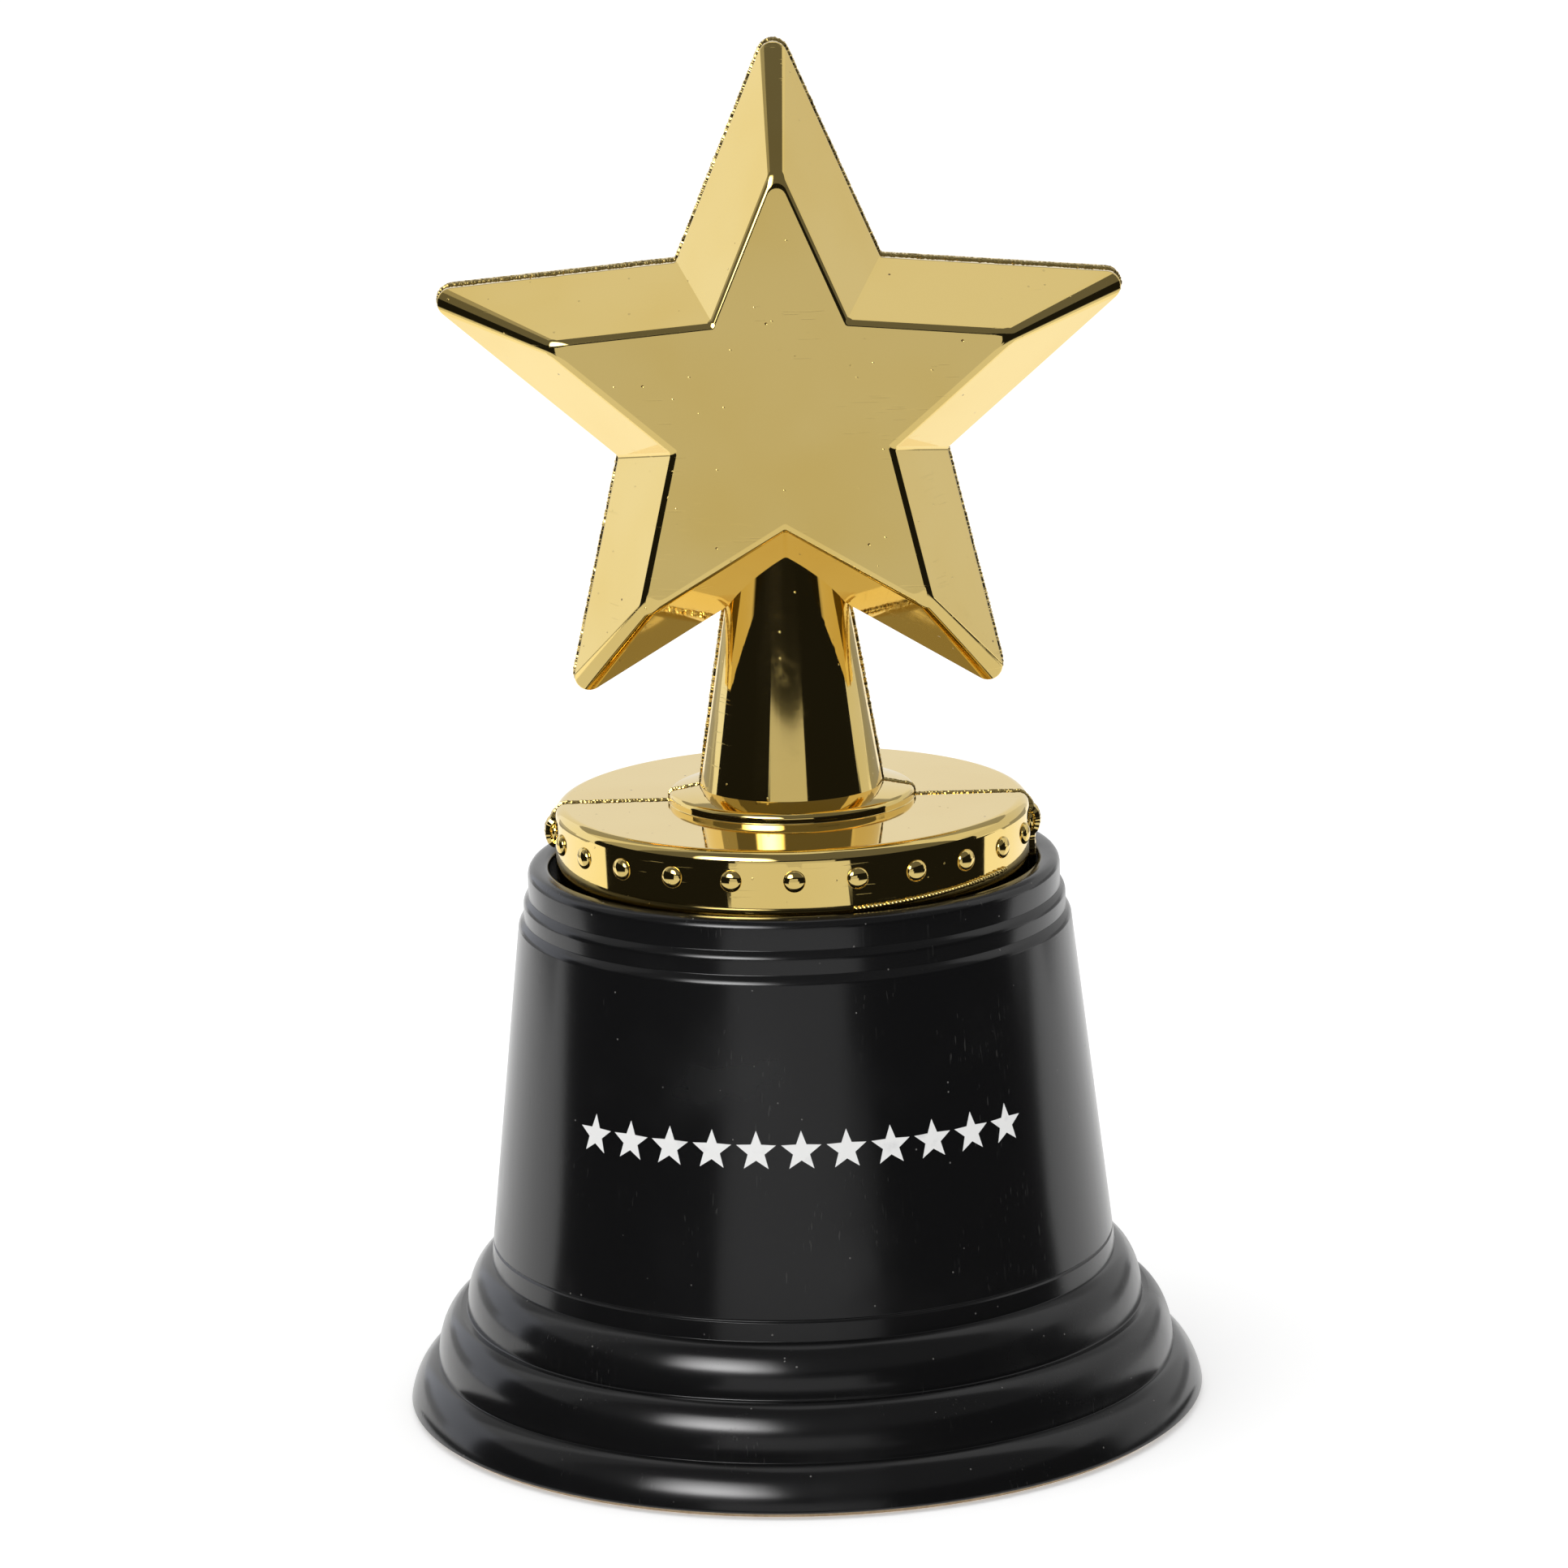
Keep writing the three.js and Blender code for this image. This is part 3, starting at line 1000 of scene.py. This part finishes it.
@dataclass
class Figure:
    """The gold figure: star, stem, collar and studded disc, in two hollow halves."""

    heights: Heights
    disc_height: float = 7.5
    disc_top_round: float = 0.95
    disc_foot_round: float = 0.4
    stud_radius: float = 0.9
    stud_stand: float = 0.45
    stud_drop: float = 2.4
    studs: int = 24
    collar_radius: float = 10.1
    collar_height: float = 1.3
    collar_fall: float = 0.5
    collar_round: float = 0.7
    stem_foot: float = 7.55
    stem_notch: float = 4.65
    stem_root: float = 4.0
    star_sharp: float = 30.8
    star_notch: float = 14.03
    tip_round: float = 1.2
    face_tip_round: float = 0.75
    notch_round: float = 0.4
    face_inset: float = 4.1
    edge_depth: float = 1.8
    face_depth: float = 9.7
    edge_round: float = 0.35
    face_round: float = 0.8
    face_rim: float = 2.0
    wall: float = 1.4
    floor: float = 1.6
    seam_gap: float = 0.1
    nut_flats: float = 8.0
    nut_height: float = 4.0
    nut_fit: float = 0.3
    nut_boss_wall: float = 2.2
    screw_hole: float = 2.9
    peg_radius: float = 1.1
    peg_length: float = 2.0
    peg_fit: float = 0.2
    post_radius: float = 2.2
    peg_on_arm: float = 15.0
    peg_on_disc: float = 12.6
    flash_width: float = 0.18
    beads: int = 47
    bead_radius: float = 0.21
    segments: int = 288
    corner_steps: int = 10
    pegs: list[Point] = field(default_factory=list)

    def __post_init__(self) -> None:
        """Works out the star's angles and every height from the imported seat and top."""
        fifth = math.pi / 5
        along = self.star_sharp - self.star_notch * math.cos(fifth)
        self.tip_half = math.atan2(self.star_notch * math.sin(fifth), along)
        rounded_tip = self.star_sharp - self.tip_round / math.sin(self.tip_half) + self.tip_round
        self.disc_radius = self.heights.stud_reach - self.stud_stand
        self.disc_top = self.heights.seat + self.disc_height
        self.collar_top = self.disc_top + self.collar_height
        self.star_z = self.heights.star_top - rounded_tip
        self.notch_z = self.star_z - self.star_notch
        self.nut_z = self.heights.seat + self.floor + self.nut_fit
        reach = self.peg_on_arm
        for arm in (0, 2, 3):
            turn = math.pi / 2 + arm * 2 * fifth
            self.pegs.append((reach * math.cos(turn), self.star_z + reach * math.sin(turn)))
        middle = (self.heights.seat + self.floor + self.disc_top - self.wall) / 2
        self.pegs += [(-self.peg_on_disc, middle), (self.peg_on_disc, middle)]

    def outline(self, inset: float, tip_round: float) -> list[Point]:
        """The star moved inward by a distance, in x and height from its centre.

        Args:
            inset: How far each side moves in.
            tip_round: The radius that rounds its points.

        Returns:
            The outline's points.
        """
        scale = 1 - inset / (self.star_sharp * math.sin(self.tip_half))
        corners = []
        for arm in range(5):
            for turn, reach, soft in (
                (arm * 2, self.star_sharp * scale, tip_round),
                (arm * 2 + 1, self.star_notch * scale, self.notch_round),
            ):
                angle = math.pi / 2 + turn * math.pi / 5
                corners.append(Corner(reach * math.cos(angle), reach * math.sin(angle), soft))
        return rounded(corners, self.corner_steps, closed=True)

    def star(self, wall: float) -> Object:
        """The bevelled star, or the hollow inside it.

        Args:
            wall: 0 for the outside, or the wall's thickness for the hollow.

        Returns:
            The solid.
        """
        lean = math.atan2(self.face_inset, self.face_depth - self.edge_depth)
        offset = wall / math.cos(lean)
        face_depth = self.face_depth - wall
        face_inset = offset + (face_depth - self.edge_depth) * math.tan(lean)
        section = rounded([
            Corner(face_inset + self.face_rim, face_depth),
            Corner(face_inset, face_depth, self.face_round),
            Corner(offset, self.edge_depth, self.edge_round),
            Corner(offset, 0.0),
        ], self.corner_steps)
        rings = []
        for inset, depth in section:
            share = min((inset - offset) / (face_inset - offset), 1.0)
            soft = self.tip_round + (self.face_tip_round - self.tip_round) * share
            rings.append((depth, self.outline(inset, soft)))
        depths = [(-depth, ring) for depth, ring in rings] + [(depth, ring) for depth, ring in rings[-2::-1]]
        return from_rings("star", [[(x, y, z + self.star_z) for x, z in ring] for y, ring in depths])

    def stem(self, wall: float, low: float) -> Object:
        """The tapered stem, or the hollow inside it.

        Args:
            wall: 0 for the outside, or the wall's thickness for the hollow.
            low: The height that it starts from, on its way up into the star.

        Returns:
            The solid.
        """
        slope = (self.stem_notch - self.stem_foot) / (self.notch_z - self.collar_top)
        high = self.notch_z + self.stem_root
        ends = [(self.stem_foot + slope * (z - self.collar_top) - wall, z) for z in (low, high)]
        return turned("stem", [(0, low), *ends, (0, high)], self.segments // 2)

    def disc(self) -> Object:
        """The disc and the collar on it.

        Returns:
            The solid that the rest of the figure joins.
        """
        corners = [
            Corner(0, self.heights.seat),
            Corner(self.disc_radius, self.heights.seat, self.disc_foot_round),
            Corner(self.disc_radius, self.disc_top, self.disc_top_round),
            Corner(self.collar_radius, self.disc_top, 0.08),
            Corner(self.collar_radius, self.collar_top - self.collar_fall, self.collar_round),
            Corner(self.stem_foot, self.collar_top),
            Corner(0, self.collar_top),
        ]
        return turned("figure_solid", rounded(corners, self.corner_steps), self.segments)

    def disc_hollow(self) -> Object:
        """The space inside the disc.

        Returns:
            The hollow, without the boss round the nut.
        """
        low, high = self.heights.seat + self.floor, self.disc_top - self.wall
        hollow = rod("hollow", self.disc_radius - self.wall, low, high, 96)
        boss = self.nut_flats / math.sqrt(3) + self.nut_boss_wall
        combine(hollow, rod("boss", boss, low - 1, high + 1), Cut.REMOVE)
        return hollow

    def add_studs(self, body: Object, material: Material) -> None:
        """Sets the row of domes round the disc.

        Args:
            body: The solid that they join.
            material: Their finish.
        """
        tree = GeometryTree("stud_row", {
            "Studs": self.studs,
            "Ring Radius": self.disc_radius * MM,
            "Stud Radius": self.stud_radius * MM,
            "Flatness": self.stud_stand / self.stud_radius,
            "Height": (self.disc_top - self.stud_drop) * MM,
        })
        circle = {"Vertices": tree.size("Studs"), "Radius": tree.size("Ring Radius")}
        sphere = {"Segments": 28, "Rings": 16, "Radius": tree.size("Stud Radius")}
        spread = tree.made("GeometryNodeInstanceOnPoints", {
            "Points": tree.made("GeometryNodeMeshCircle", circle),
            "Instance": tree.made("GeometryNodeMeshUVSphere", sphere),
            "Rotation": tree.made("FunctionNodeAlignRotationToVector", {"Vector": tree.position()}, axis="X"),
            "Scale": tree.vector(X=tree.size("Flatness"), Y=1.0, Z=1.0),
        })
        rise = tree.vector(Z=tree.size("Height"))
        tree.finish(tree.made("GeometryNodeTransform", {"Geometry": spread, "Translation": rise}), material)
        combine(body, tree.run(new_piece("studs")), Cut.JOIN)

    def hollow_out(self, body: Object) -> None:
        """Takes the hollow, the nut's pocket and the screw's way out of the solid figure.

        Args:
            body: The solid figure.
        """
        hollow = self.star(self.wall)
        combine(hollow, self.disc_hollow(), Cut.JOIN)
        reach = self.face_depth - self.wall / 2
        post, side = self.post_radius, self.disc_radius
        seat, top = self.heights.seat, self.disc_top
        for x, z in self.pegs:
            if z > self.collar_top:
                combine(hollow, cross_rod("post", post, (-reach, reach), (x, z)), Cut.REMOVE)
            else:
                combine(hollow, block("post", (x - post, -side, seat), (x + post, side, top)), Cut.REMOVE)
        combine(hollow, self.stem(self.wall, top), Cut.JOIN)
        combine(hollow, rod("bore", self.screw_hole, seat - 1, top + 1), Cut.JOIN)
        corner = (self.nut_flats / 2 + self.nut_fit) / math.cos(math.pi / 6)
        low, high = self.nut_z - self.nut_fit, self.nut_z + self.nut_height + self.nut_fit
        combine(hollow, rod("pocket", corner, low, high, 6), Cut.JOIN)
        combine(body, hollow, Cut.REMOVE)

    def seam_path(self, solid: Object) -> Mesh:
        """The line where the seam meets the outside of the solid figure, above the seat.

        Args:
            solid: The figure before it is hollowed.

        Returns:
            A mesh of edges only.
        """
        shape = bmesh.new()
        shape.from_mesh(solid.data)
        everything = shape.verts[:] + shape.edges[:] + shape.faces[:]
        cut = bmesh.ops.bisect_plane(
            shape, geom=everything, plane_co=(0, 0, 0), plane_no=(0, 1, 0), clear_inner=True, clear_outer=True
        )["geom_cut"]
        clear = (self.heights.seat + 1.0) * MM
        low = [v for v in cut if isinstance(v, bmesh.types.BMVert) and v.co.z < clear]
        bmesh.ops.delete(shape, geom=low, context="VERTS")
        bmesh.ops.remove_doubles(shape, verts=shape.verts, dist=0.005 * MM)
        path = bpy.data.meshes.new("seam_path")
        shape.to_mesh(path)
        shape.free()
        return path

    def flash(self, path: Mesh, side: Side, material: Material) -> Object:
        """The rough raised bead that the mould leaves along one half's seam.

        Args:
            path: The seam line.
            side: The half that it belongs to. Its roughness is read elsewhere for each, so that they differ.
            material: Its finish.

        Returns:
            The bead as a closed solid.
        """
        tree = GeometryTree(f"flash_{side.name.lower()}", {
            "Width": self.flash_width * MM,
            "Step": 0.07 * MM,
            "Grain": 7600.0,
            "Patch": 220.0,
            "Seed": 3.0 + side.value,
            "Ear": 2.1,
            "Offset": side.value * (self.seam_gap / 2 + self.flash_width * 0.95) * MM,
        })
        curve = tree.made("GeometryNodeMeshToCurve", {"Mesh": tree.start.outputs["Geometry"]})
        spacing = {"Curve": curve, "Length": tree.size("Step")}
        even = tree.made("GeometryNodeResampleCurve", spacing, mode="LENGTH")
        offset = tree.vector(Y=tree.size("Offset"))
        moved = tree.made("GeometryNodeSetPosition", {"Geometry": even, "Offset": offset})
        width = tree.size("Width")
        radius = (width * self._flash_swell(tree)).most(width * 0.35)
        tree.finish(tree.made("GeometryNodeCurveToMesh", {
            "Curve": tree.made("GeometryNodeSetCurveRadius", {"Curve": moved, "Radius": radius}),
            "Profile Curve": tree.made("GeometryNodeCurvePrimitiveCircle", {"Resolution": 7, "Radius": 1.0}),
            "Fill Caps": True,
            "Scale": tree.made("GeometryNodeInputRadius"),
        }), material)
        return tree.run(new_piece("flash", path.copy()))

    def _flash_swell(self, tree: GeometryTree) -> Value:
        """How the flash swells along the seam: rough, lower on the disc, and with an ear at each side of it.

        Args:
            tree: The tree that makes the flash.

        Returns:
            Its radius as a share of its width.
        """
        grain, patch = (
            Value(tree, tree.made("ShaderNodeTexNoise", {
                "Vector": tree.position(),
                "W": tree.size("Seed"),
                "Scale": tree.size(label),
                "Detail": detail,
            }, noise_dimensions="4D"))
            for label, detail in (("Grain", 0.0), ("Patch", 3.0))
        )
        across, _, height = tree.split(tree.position())
        ear = across.magnitude().eased((self.disc_radius - 0.3) * MM, self.disc_radius * MM)
        ear = ear * (1 - height.eased((self.disc_top - 1.4) * MM, (self.disc_top - 0.3) * MM))
        low = 1 - height.eased(self.collar_top * MM, (self.collar_top + 3) * MM)
        rough = grain * 1.1 + patch * 0.9 - 0.05
        return rough * (1 - low * 0.4) + ear * tree.size("Ear")

    def add_beads(self, material: Material) -> Object:
        """The string of small beads left along the front right of the disc, just above the base's lip.

        Args:
            material: Their finish.

        Returns:
            The piece.
        """
        tree = GeometryTree("disc_beads", {
            "Beads": self.beads,
            "Ring Radius": (self.disc_radius + 0.1) * MM,
            "Start Angle": math.radians(14.5),
            "Sweep Angle": math.radians(47),
            "Height": (self.heights.lip_top + 0.12) * MM,
            "Rise": 0.7 * MM,
            "Bead Radius": self.bead_radius * MM,
        })
        share = Value(tree, tree.made("GeometryNodeInputIndex")) / tree.size("Beads")
        angle = tree.size("Start Angle") + share * tree.size("Sweep Angle")
        height = tree.size("Height") + tree.size("Rise") * share
        row = tree.made("GeometryNodeMeshLine", {"Count": tree.size("Beads")}, mode="OFFSET")
        place = tree.around(tree.size("Ring Radius"), angle, height)
        bead = {"Radius": tree.size("Bead Radius"), "Subdivisions": 3}
        uneven = tree.node("FunctionNodeRandomValue", {2: 0.8, 3: 1.2, "Seed": 11}, data_type="FLOAT")
        tree.finish(tree.made("GeometryNodeInstanceOnPoints", {
            "Points": tree.made("GeometryNodeSetPosition", {"Geometry": row, "Position": place}),
            "Instance": tree.made("GeometryNodeMeshIcoSphere", bead),
            "Scale": uneven.outputs[1],
        }), material)
        beads = tree.run(new_piece("disc_beads"))
        smooth(beads, 60.0)
        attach(beads, ROOT)
        return beads

    def half(self, solid: Object, path: Mesh, side: Side, material: Material) -> Object:
        """One hollow half with its flash and its pegs or sockets.

        Args:
            solid: The hollowed figure.
            path: The seam line.
            side: Which half.
            material: Its finish.

        Returns:
            The piece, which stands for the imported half.
        """
        piece = new_piece(f"figure_{side.name.lower()}_moulding", solid.data.copy())
        gap, reach = self.seam_gap / 2, 1.1 * self.star_sharp
        near, far = (-reach, -gap) if side is Side.FRONT else (gap, reach)
        low, high = self.heights.seat - 2, self.heights.star_top + 2
        combine(piece, block("side", (-reach, near, low), (reach, far, high), cell=1.3), Cut.KEEP_COMMON)
        combine(piece, self.flash(path, side, material), Cut.JOIN)
        for place in self.pegs:
            if side is Side.FRONT:
                ends = (-2 * gap - self.peg_length, self.peg_length)
                combine(piece, cross_rod("peg", self.peg_radius, ends, place), Cut.JOIN)
            else:
                ends = (-1.0, self.peg_length + self.peg_fit)
                combine(piece, cross_rod("socket", self.peg_radius + self.peg_fit, ends, place), Cut.REMOVE)
        smooth(piece, 32.0)
        dress(piece, material)
        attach(piece, ROOT)
        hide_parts(f"figure_{side.name.lower()}_half")
        return piece

    def build(self, material: Material) -> list[Object]:
        """Both halves and their beads.

        Args:
            material: Their finish.

        Returns:
            The three pieces.
        """
        body = self.disc()
        combine(body, self.stem(0.0, self.disc_top - 1.0), Cut.JOIN)
        combine(body, self.star(0.0), Cut.JOIN)
        self.add_studs(body, material)
        path = self.seam_path(body)
        self.hollow_out(body)
        halves = [self.half(body, path, side, material) for side in Side]
        bpy.data.objects.remove(body)
        return [*halves, self.add_beads(material)]


@dataclass
class Fixings:
    """The nut, screw and washer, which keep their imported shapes."""

    nodes: tuple[str, ...] = ("captive_nut", "fixing_screw", "fixing_washer")

    def build(self, frame: Mapping[str, object], material: Material) -> list[Object]:
        """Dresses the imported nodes.

        Args:
            frame: What the frame holds.
            material: Their finish.

        Returns:
            The nodes' objects.
        """
        pieces = [frame["nodes"][name] for name in self.nodes]
        for piece in pieces:
            dress(piece, material)
        return pieces


# Studio


def glow(name: str, grazing: float, square_on: float, tint: Triple = (1.0, 1.0, 1.0)) -> Material:
    """A plain shining card, which its fade attribute dims.

    Args:
        name: The material's name.
        grazing: How bright it is, seen at a grazing angle, where a glossy floor mirrors a dark room.
        square_on: How bright it is, seen square on.
        tint: Its colour.

    Returns:
        The material.
    """
    surface = Surface(name)
    facing = Value(surface, surface.node("ShaderNodeLayerWeight", {"Blend": 0.5}).outputs["Facing"])
    near, far = ((*(level * c for c in tint), 1.0) for level in (square_on, grazing))
    colour = surface.blend(facing.eased(0.6, 0.72), near, far)
    fade = Value(surface, surface.node("ShaderNodeAttribute", attribute_name="fade").outputs["Fac"])
    inputs = {"Color": surface.blend(fade, grey(0.0), colour), "Strength": 1.0}
    return surface.close(inputs, "ShaderNodeEmission")


def only_seen_by(piece: Object, rays: str) -> None:
    """Hides a stage object from every kind of ray but one."""
    for kind in ("camera", "diffuse", "glossy", "transmission", "shadow"):
        setattr(piece, f"visible_{kind}", kind == rays)


def aimed(name: str, data: ID, place: Vector, look: Vector, roll: float = 0.0) -> Object:
    """An object that looks in a direction.

    Args:
        name: The object's name.
        data: Its camera or lamp.
        place: Where it stands, in metres.
        look: The direction.
        roll: Its turn about that direction in degrees.

    Returns:
        The object.
    """
    piece = new_piece(name, data)
    turn = look.to_track_quat("-Z", "Y").to_matrix().to_4x4() @ Matrix.Rotation(math.radians(roll), 4, "Z")
    piece.matrix_world = Matrix.Translation(place) @ turn
    return piece


@dataclass(frozen=True)
class Card:
    """A curved card that only reflections see, from a near or low edge to a far or high one.

    Bearings are degrees from the front, positive to the right. An edge is a distance and a height in metres.
    """

    name: str
    near: Point
    far: Point
    bearings: Point
    strength: float
    from_above: float | None = None
    far_bearings: Point | None = None
    soft: bool = False
    tint: Triple = (1.0, 1.0, 1.0)
    rows: int = 8
    degrees_apart: float = 3.0

    def build(self) -> None:
        """Places the card."""
        shape = bmesh.new()
        fade = shape.verts.layers.float.new("fade")
        near_ends, far_ends = self.bearings, self.far_bearings or self.bearings
        across = max(self.rows, int(abs(far_ends[1] - far_ends[0]) / self.degrees_apart))
        columns = []
        for i in range(across + 1):
            t = i / across
            near, far = (ends[0] + (ends[1] - ends[0]) * t for ends in (near_ends, far_ends))
            column = []
            for j in range(self.rows + 1):
                u = j / self.rows
                bearing = math.radians(near + (far - near) * u)
                reach, z = (self.near[k] + (self.far[k] - self.near[k]) * u for k in (0, 1))
                vert = shape.verts.new((reach * math.sin(bearing), -reach * math.cos(bearing), z))
                vert[fade] = math.sin(math.pi * t) * min(1.0, 6 * u) * (1 - u) if self.soft else 1.0
                column.append(vert)
            columns.append(column)
        for left, right in zip(columns, columns[1:]):
            for j in range(self.rows):
                shape.faces.new((left[j], right[j], right[j + 1], left[j + 1]))
        card = from_shape(self.name, shape)
        above = self.strength if self.from_above is None else self.from_above
        dress(card, glow(self.name, self.strength, above, self.tint))
        only_seen_by(card, "glossy")


# Edges that the cards share, and the glow of the dark ones

FOOT = (0.036, 0.0002)
FLOOR_BRIGHT = (0.13, 0.0002)
FLOOR_PALE = (0.27, 0.0002)
FLOOR_END = (0.42, 0.0002)
OUTER_FLOOR = (0.26, 0.0003)
OUTER_FLOOR_END = (0.85, 0.0003)
WALL_FOOT = (0.42, 0.0)
WALL_PALE = (0.42, 0.1)
WALL_TOP = (0.42, 0.17)
CEILING_END = (0.1, 0.6)
LOW_FOOT = (0.6, 0.0)
LOW_TOP = (0.6, 0.075)
ROOM_FOOT = (0.9, 0.0)
ROOM_TOP = (0.9, 0.5)
DARK = 0.012


@dataclass
class Studio:
    """A pale floor, soft light, dark and light cards in front, and the camera. Sizes are metres."""

    distance: float = 0.52
    pitch: float = 12.99
    roll: float = -1.5
    aim: Triple = (-0.00062, 0.0, 0.05207)
    lens: float = 145.06
    surround: float = 0.82
    floor_size: float = 4.0
    floor_drop: float = 0.00005
    floor_glow: float = 0.31
    backdrop: Point = (3.8, 4.0)
    lamp_size: float = 0.8
    lamp_watts: float = 1.2
    lamp_place: Triple = (-0.45, -0.25, 0.7)
    lamp_aim: Triple = (0.0, 0.0, 0.03)
    cards: tuple[Card, ...] = (
        Card("floor_left", FOOT, FLOOR_END, (-88, -30), DARK, 0.8, (-111, -30)),
        Card("floor_near", FOOT, FLOOR_BRIGHT, (-30, 25.5), DARK, 0.8),
        Card("floor_bright", FLOOR_BRIGHT, FLOOR_PALE, (-30, 25.5), 0.8, 0.8),
        Card("floor_front", FLOOR_PALE, FLOOR_END, (-30, 25.5), 0.64, 0.8),
        Card("floor_right", FOOT, FLOOR_END, (25.5, 90), DARK, 0.8, (25.5, 114)),
        Card("grey_floor_left", OUTER_FLOOR, OUTER_FLOOR_END, (-150, -112), 0.4, None, (-150, -110)),
        Card("grey_floor_right", OUTER_FLOOR, OUTER_FLOOR_END, (118, 150), 0.36, None, (116, 150)),
        Card("dark_wall_left", WALL_FOOT, WALL_TOP, (-107.5, -27), DARK),
        Card("pale_wall_front", WALL_FOOT, WALL_PALE, (-27, 19), 0.64),
        Card("dark_wall_front", WALL_PALE, WALL_TOP, (-27, 19), DARK),
        Card("dark_wall_right", WALL_FOOT, WALL_TOP, (19, 96), DARK),
        Card("grey_wall_left", LOW_FOOT, LOW_TOP, (-150, -125.5), 0.55),
        Card("grey_wall_right", LOW_FOOT, LOW_TOP, (125.5, 150), 0.36),
        Card("bright_wall_left", ROOM_FOOT, ROOM_TOP, (-155, -100), 1.02, tint=(1.0, 1.03, 1.12)),
        Card("bright_wall_back", ROOM_FOOT, ROOM_TOP, (-205, -155), 0.88),
        Card("bright_wall_right", ROOM_FOOT, ROOM_TOP, (90, 155), 0.74),
        Card("dim_wall_back", ROOM_TOP, (0.6, 0.9), (130, 230), 0.36),
        Card("dark_ceiling", WALL_TOP, CEILING_END, (-80, 85), 0.15),
        Card("grey_ceiling_left", WALL_TOP, CEILING_END, (-107.5, -80), 0.4),
        Card("key_softbox", (0.36, 0.13), (0.27, 0.3), (-48, -6), 22.0, None, (-54, -12), soft=True),
    )

    def build_camera(self) -> None:
        """The camera, which becomes the scene's."""
        data = bpy.data.cameras.new("camera")
        data.lens = self.lens
        data.clip_start = 0.01
        pitch = math.radians(self.pitch)
        look = Vector((0, math.cos(pitch), -math.sin(pitch)))
        place = Vector(self.aim) - look * self.distance
        bpy.context.scene.camera = aimed("camera", data, place, look, self.roll)

    def build_floor(self) -> None:
        """The pale floor, just under the foot."""
        shape = bmesh.new()
        bmesh.ops.create_grid(shape, x_segments=1, y_segments=1, size=self.floor_size)
        floor = from_shape("floor", shape)
        floor.location.z = -self.floor_drop
        surface = Surface("floor")
        tone = surface.noise(6.0).eased(0.2, 0.8)
        dress(floor, surface.close({
            "Base Color": surface.blend(tone, grey(0.93), grey(0.95)),
            "Roughness": 0.9,
            "Specular IOR Level": 0.0,
            "Emission Color": grey(1.0),
            "Emission Strength": self.floor_glow,
        }))

    def build_backdrop(self) -> None:
        """A plain white wall far away all round, which only the camera sees."""
        far, high = (size / MM for size in self.backdrop)
        section = [(far, -1.0), (far, high), (far + 1.0, high), (far + 1.0, -1.0)]
        backdrop = turned("backdrop", section, 96, loop=True)
        dress(backdrop, glow("backdrop", 1.0, 1.0))
        only_seen_by(backdrop, "camera")

    def build_light(self) -> None:
        """An even white surround and a soft lamp above on the left."""
        world = bpy.data.worlds.new("surround")
        world.use_nodes = True
        sky = world.node_tree.nodes["Background"]
        sky.inputs["Color"].default_value = grey(1.0)
        sky.inputs["Strength"].default_value = self.surround
        bpy.context.scene.world = world
        data = bpy.data.lights.new("soft_lamp", "AREA")
        data.shape = "RECTANGLE"
        data.size = data.size_y = self.lamp_size
        data.energy = self.lamp_watts
        place = Vector(self.lamp_place)
        lamp = aimed("soft_lamp", data, place, Vector(self.lamp_aim) - place)
        lamp.visible_glossy = False

    def build(self) -> None:
        """Sets everything up."""
        self.build_camera()
        self.build_floor()
        self.build_backdrop()
        self.build_light()
        for card in self.cards:
            card.build()
        view = bpy.context.scene.view_settings
        view.view_transform = "Standard"
        view.look = "None"


def main() -> None:
    """Builds the studio and every piece in order."""
    logging.basicConfig(level=logging.INFO, format="%(name)s %(message)s")
    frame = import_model()
    Studio().build()
    heights = Heights.read()
    base = Base(heights)
    pieces = [
        base.build_shell(BlackMoulding().material()),
        base.build_card(KraftCard().material()),
        PrintedBand(base).build(WhiteInk().material()),
        *Figure(heights).build(GoldPlating().material()),
        *Fixings().build(frame, ZincSteel().material()),
    ]
    for piece in pieces:
        LOG.info("%s: %d faces", piece.name, len(piece.data.polygons))


if __name__ == "__main__":
    main()
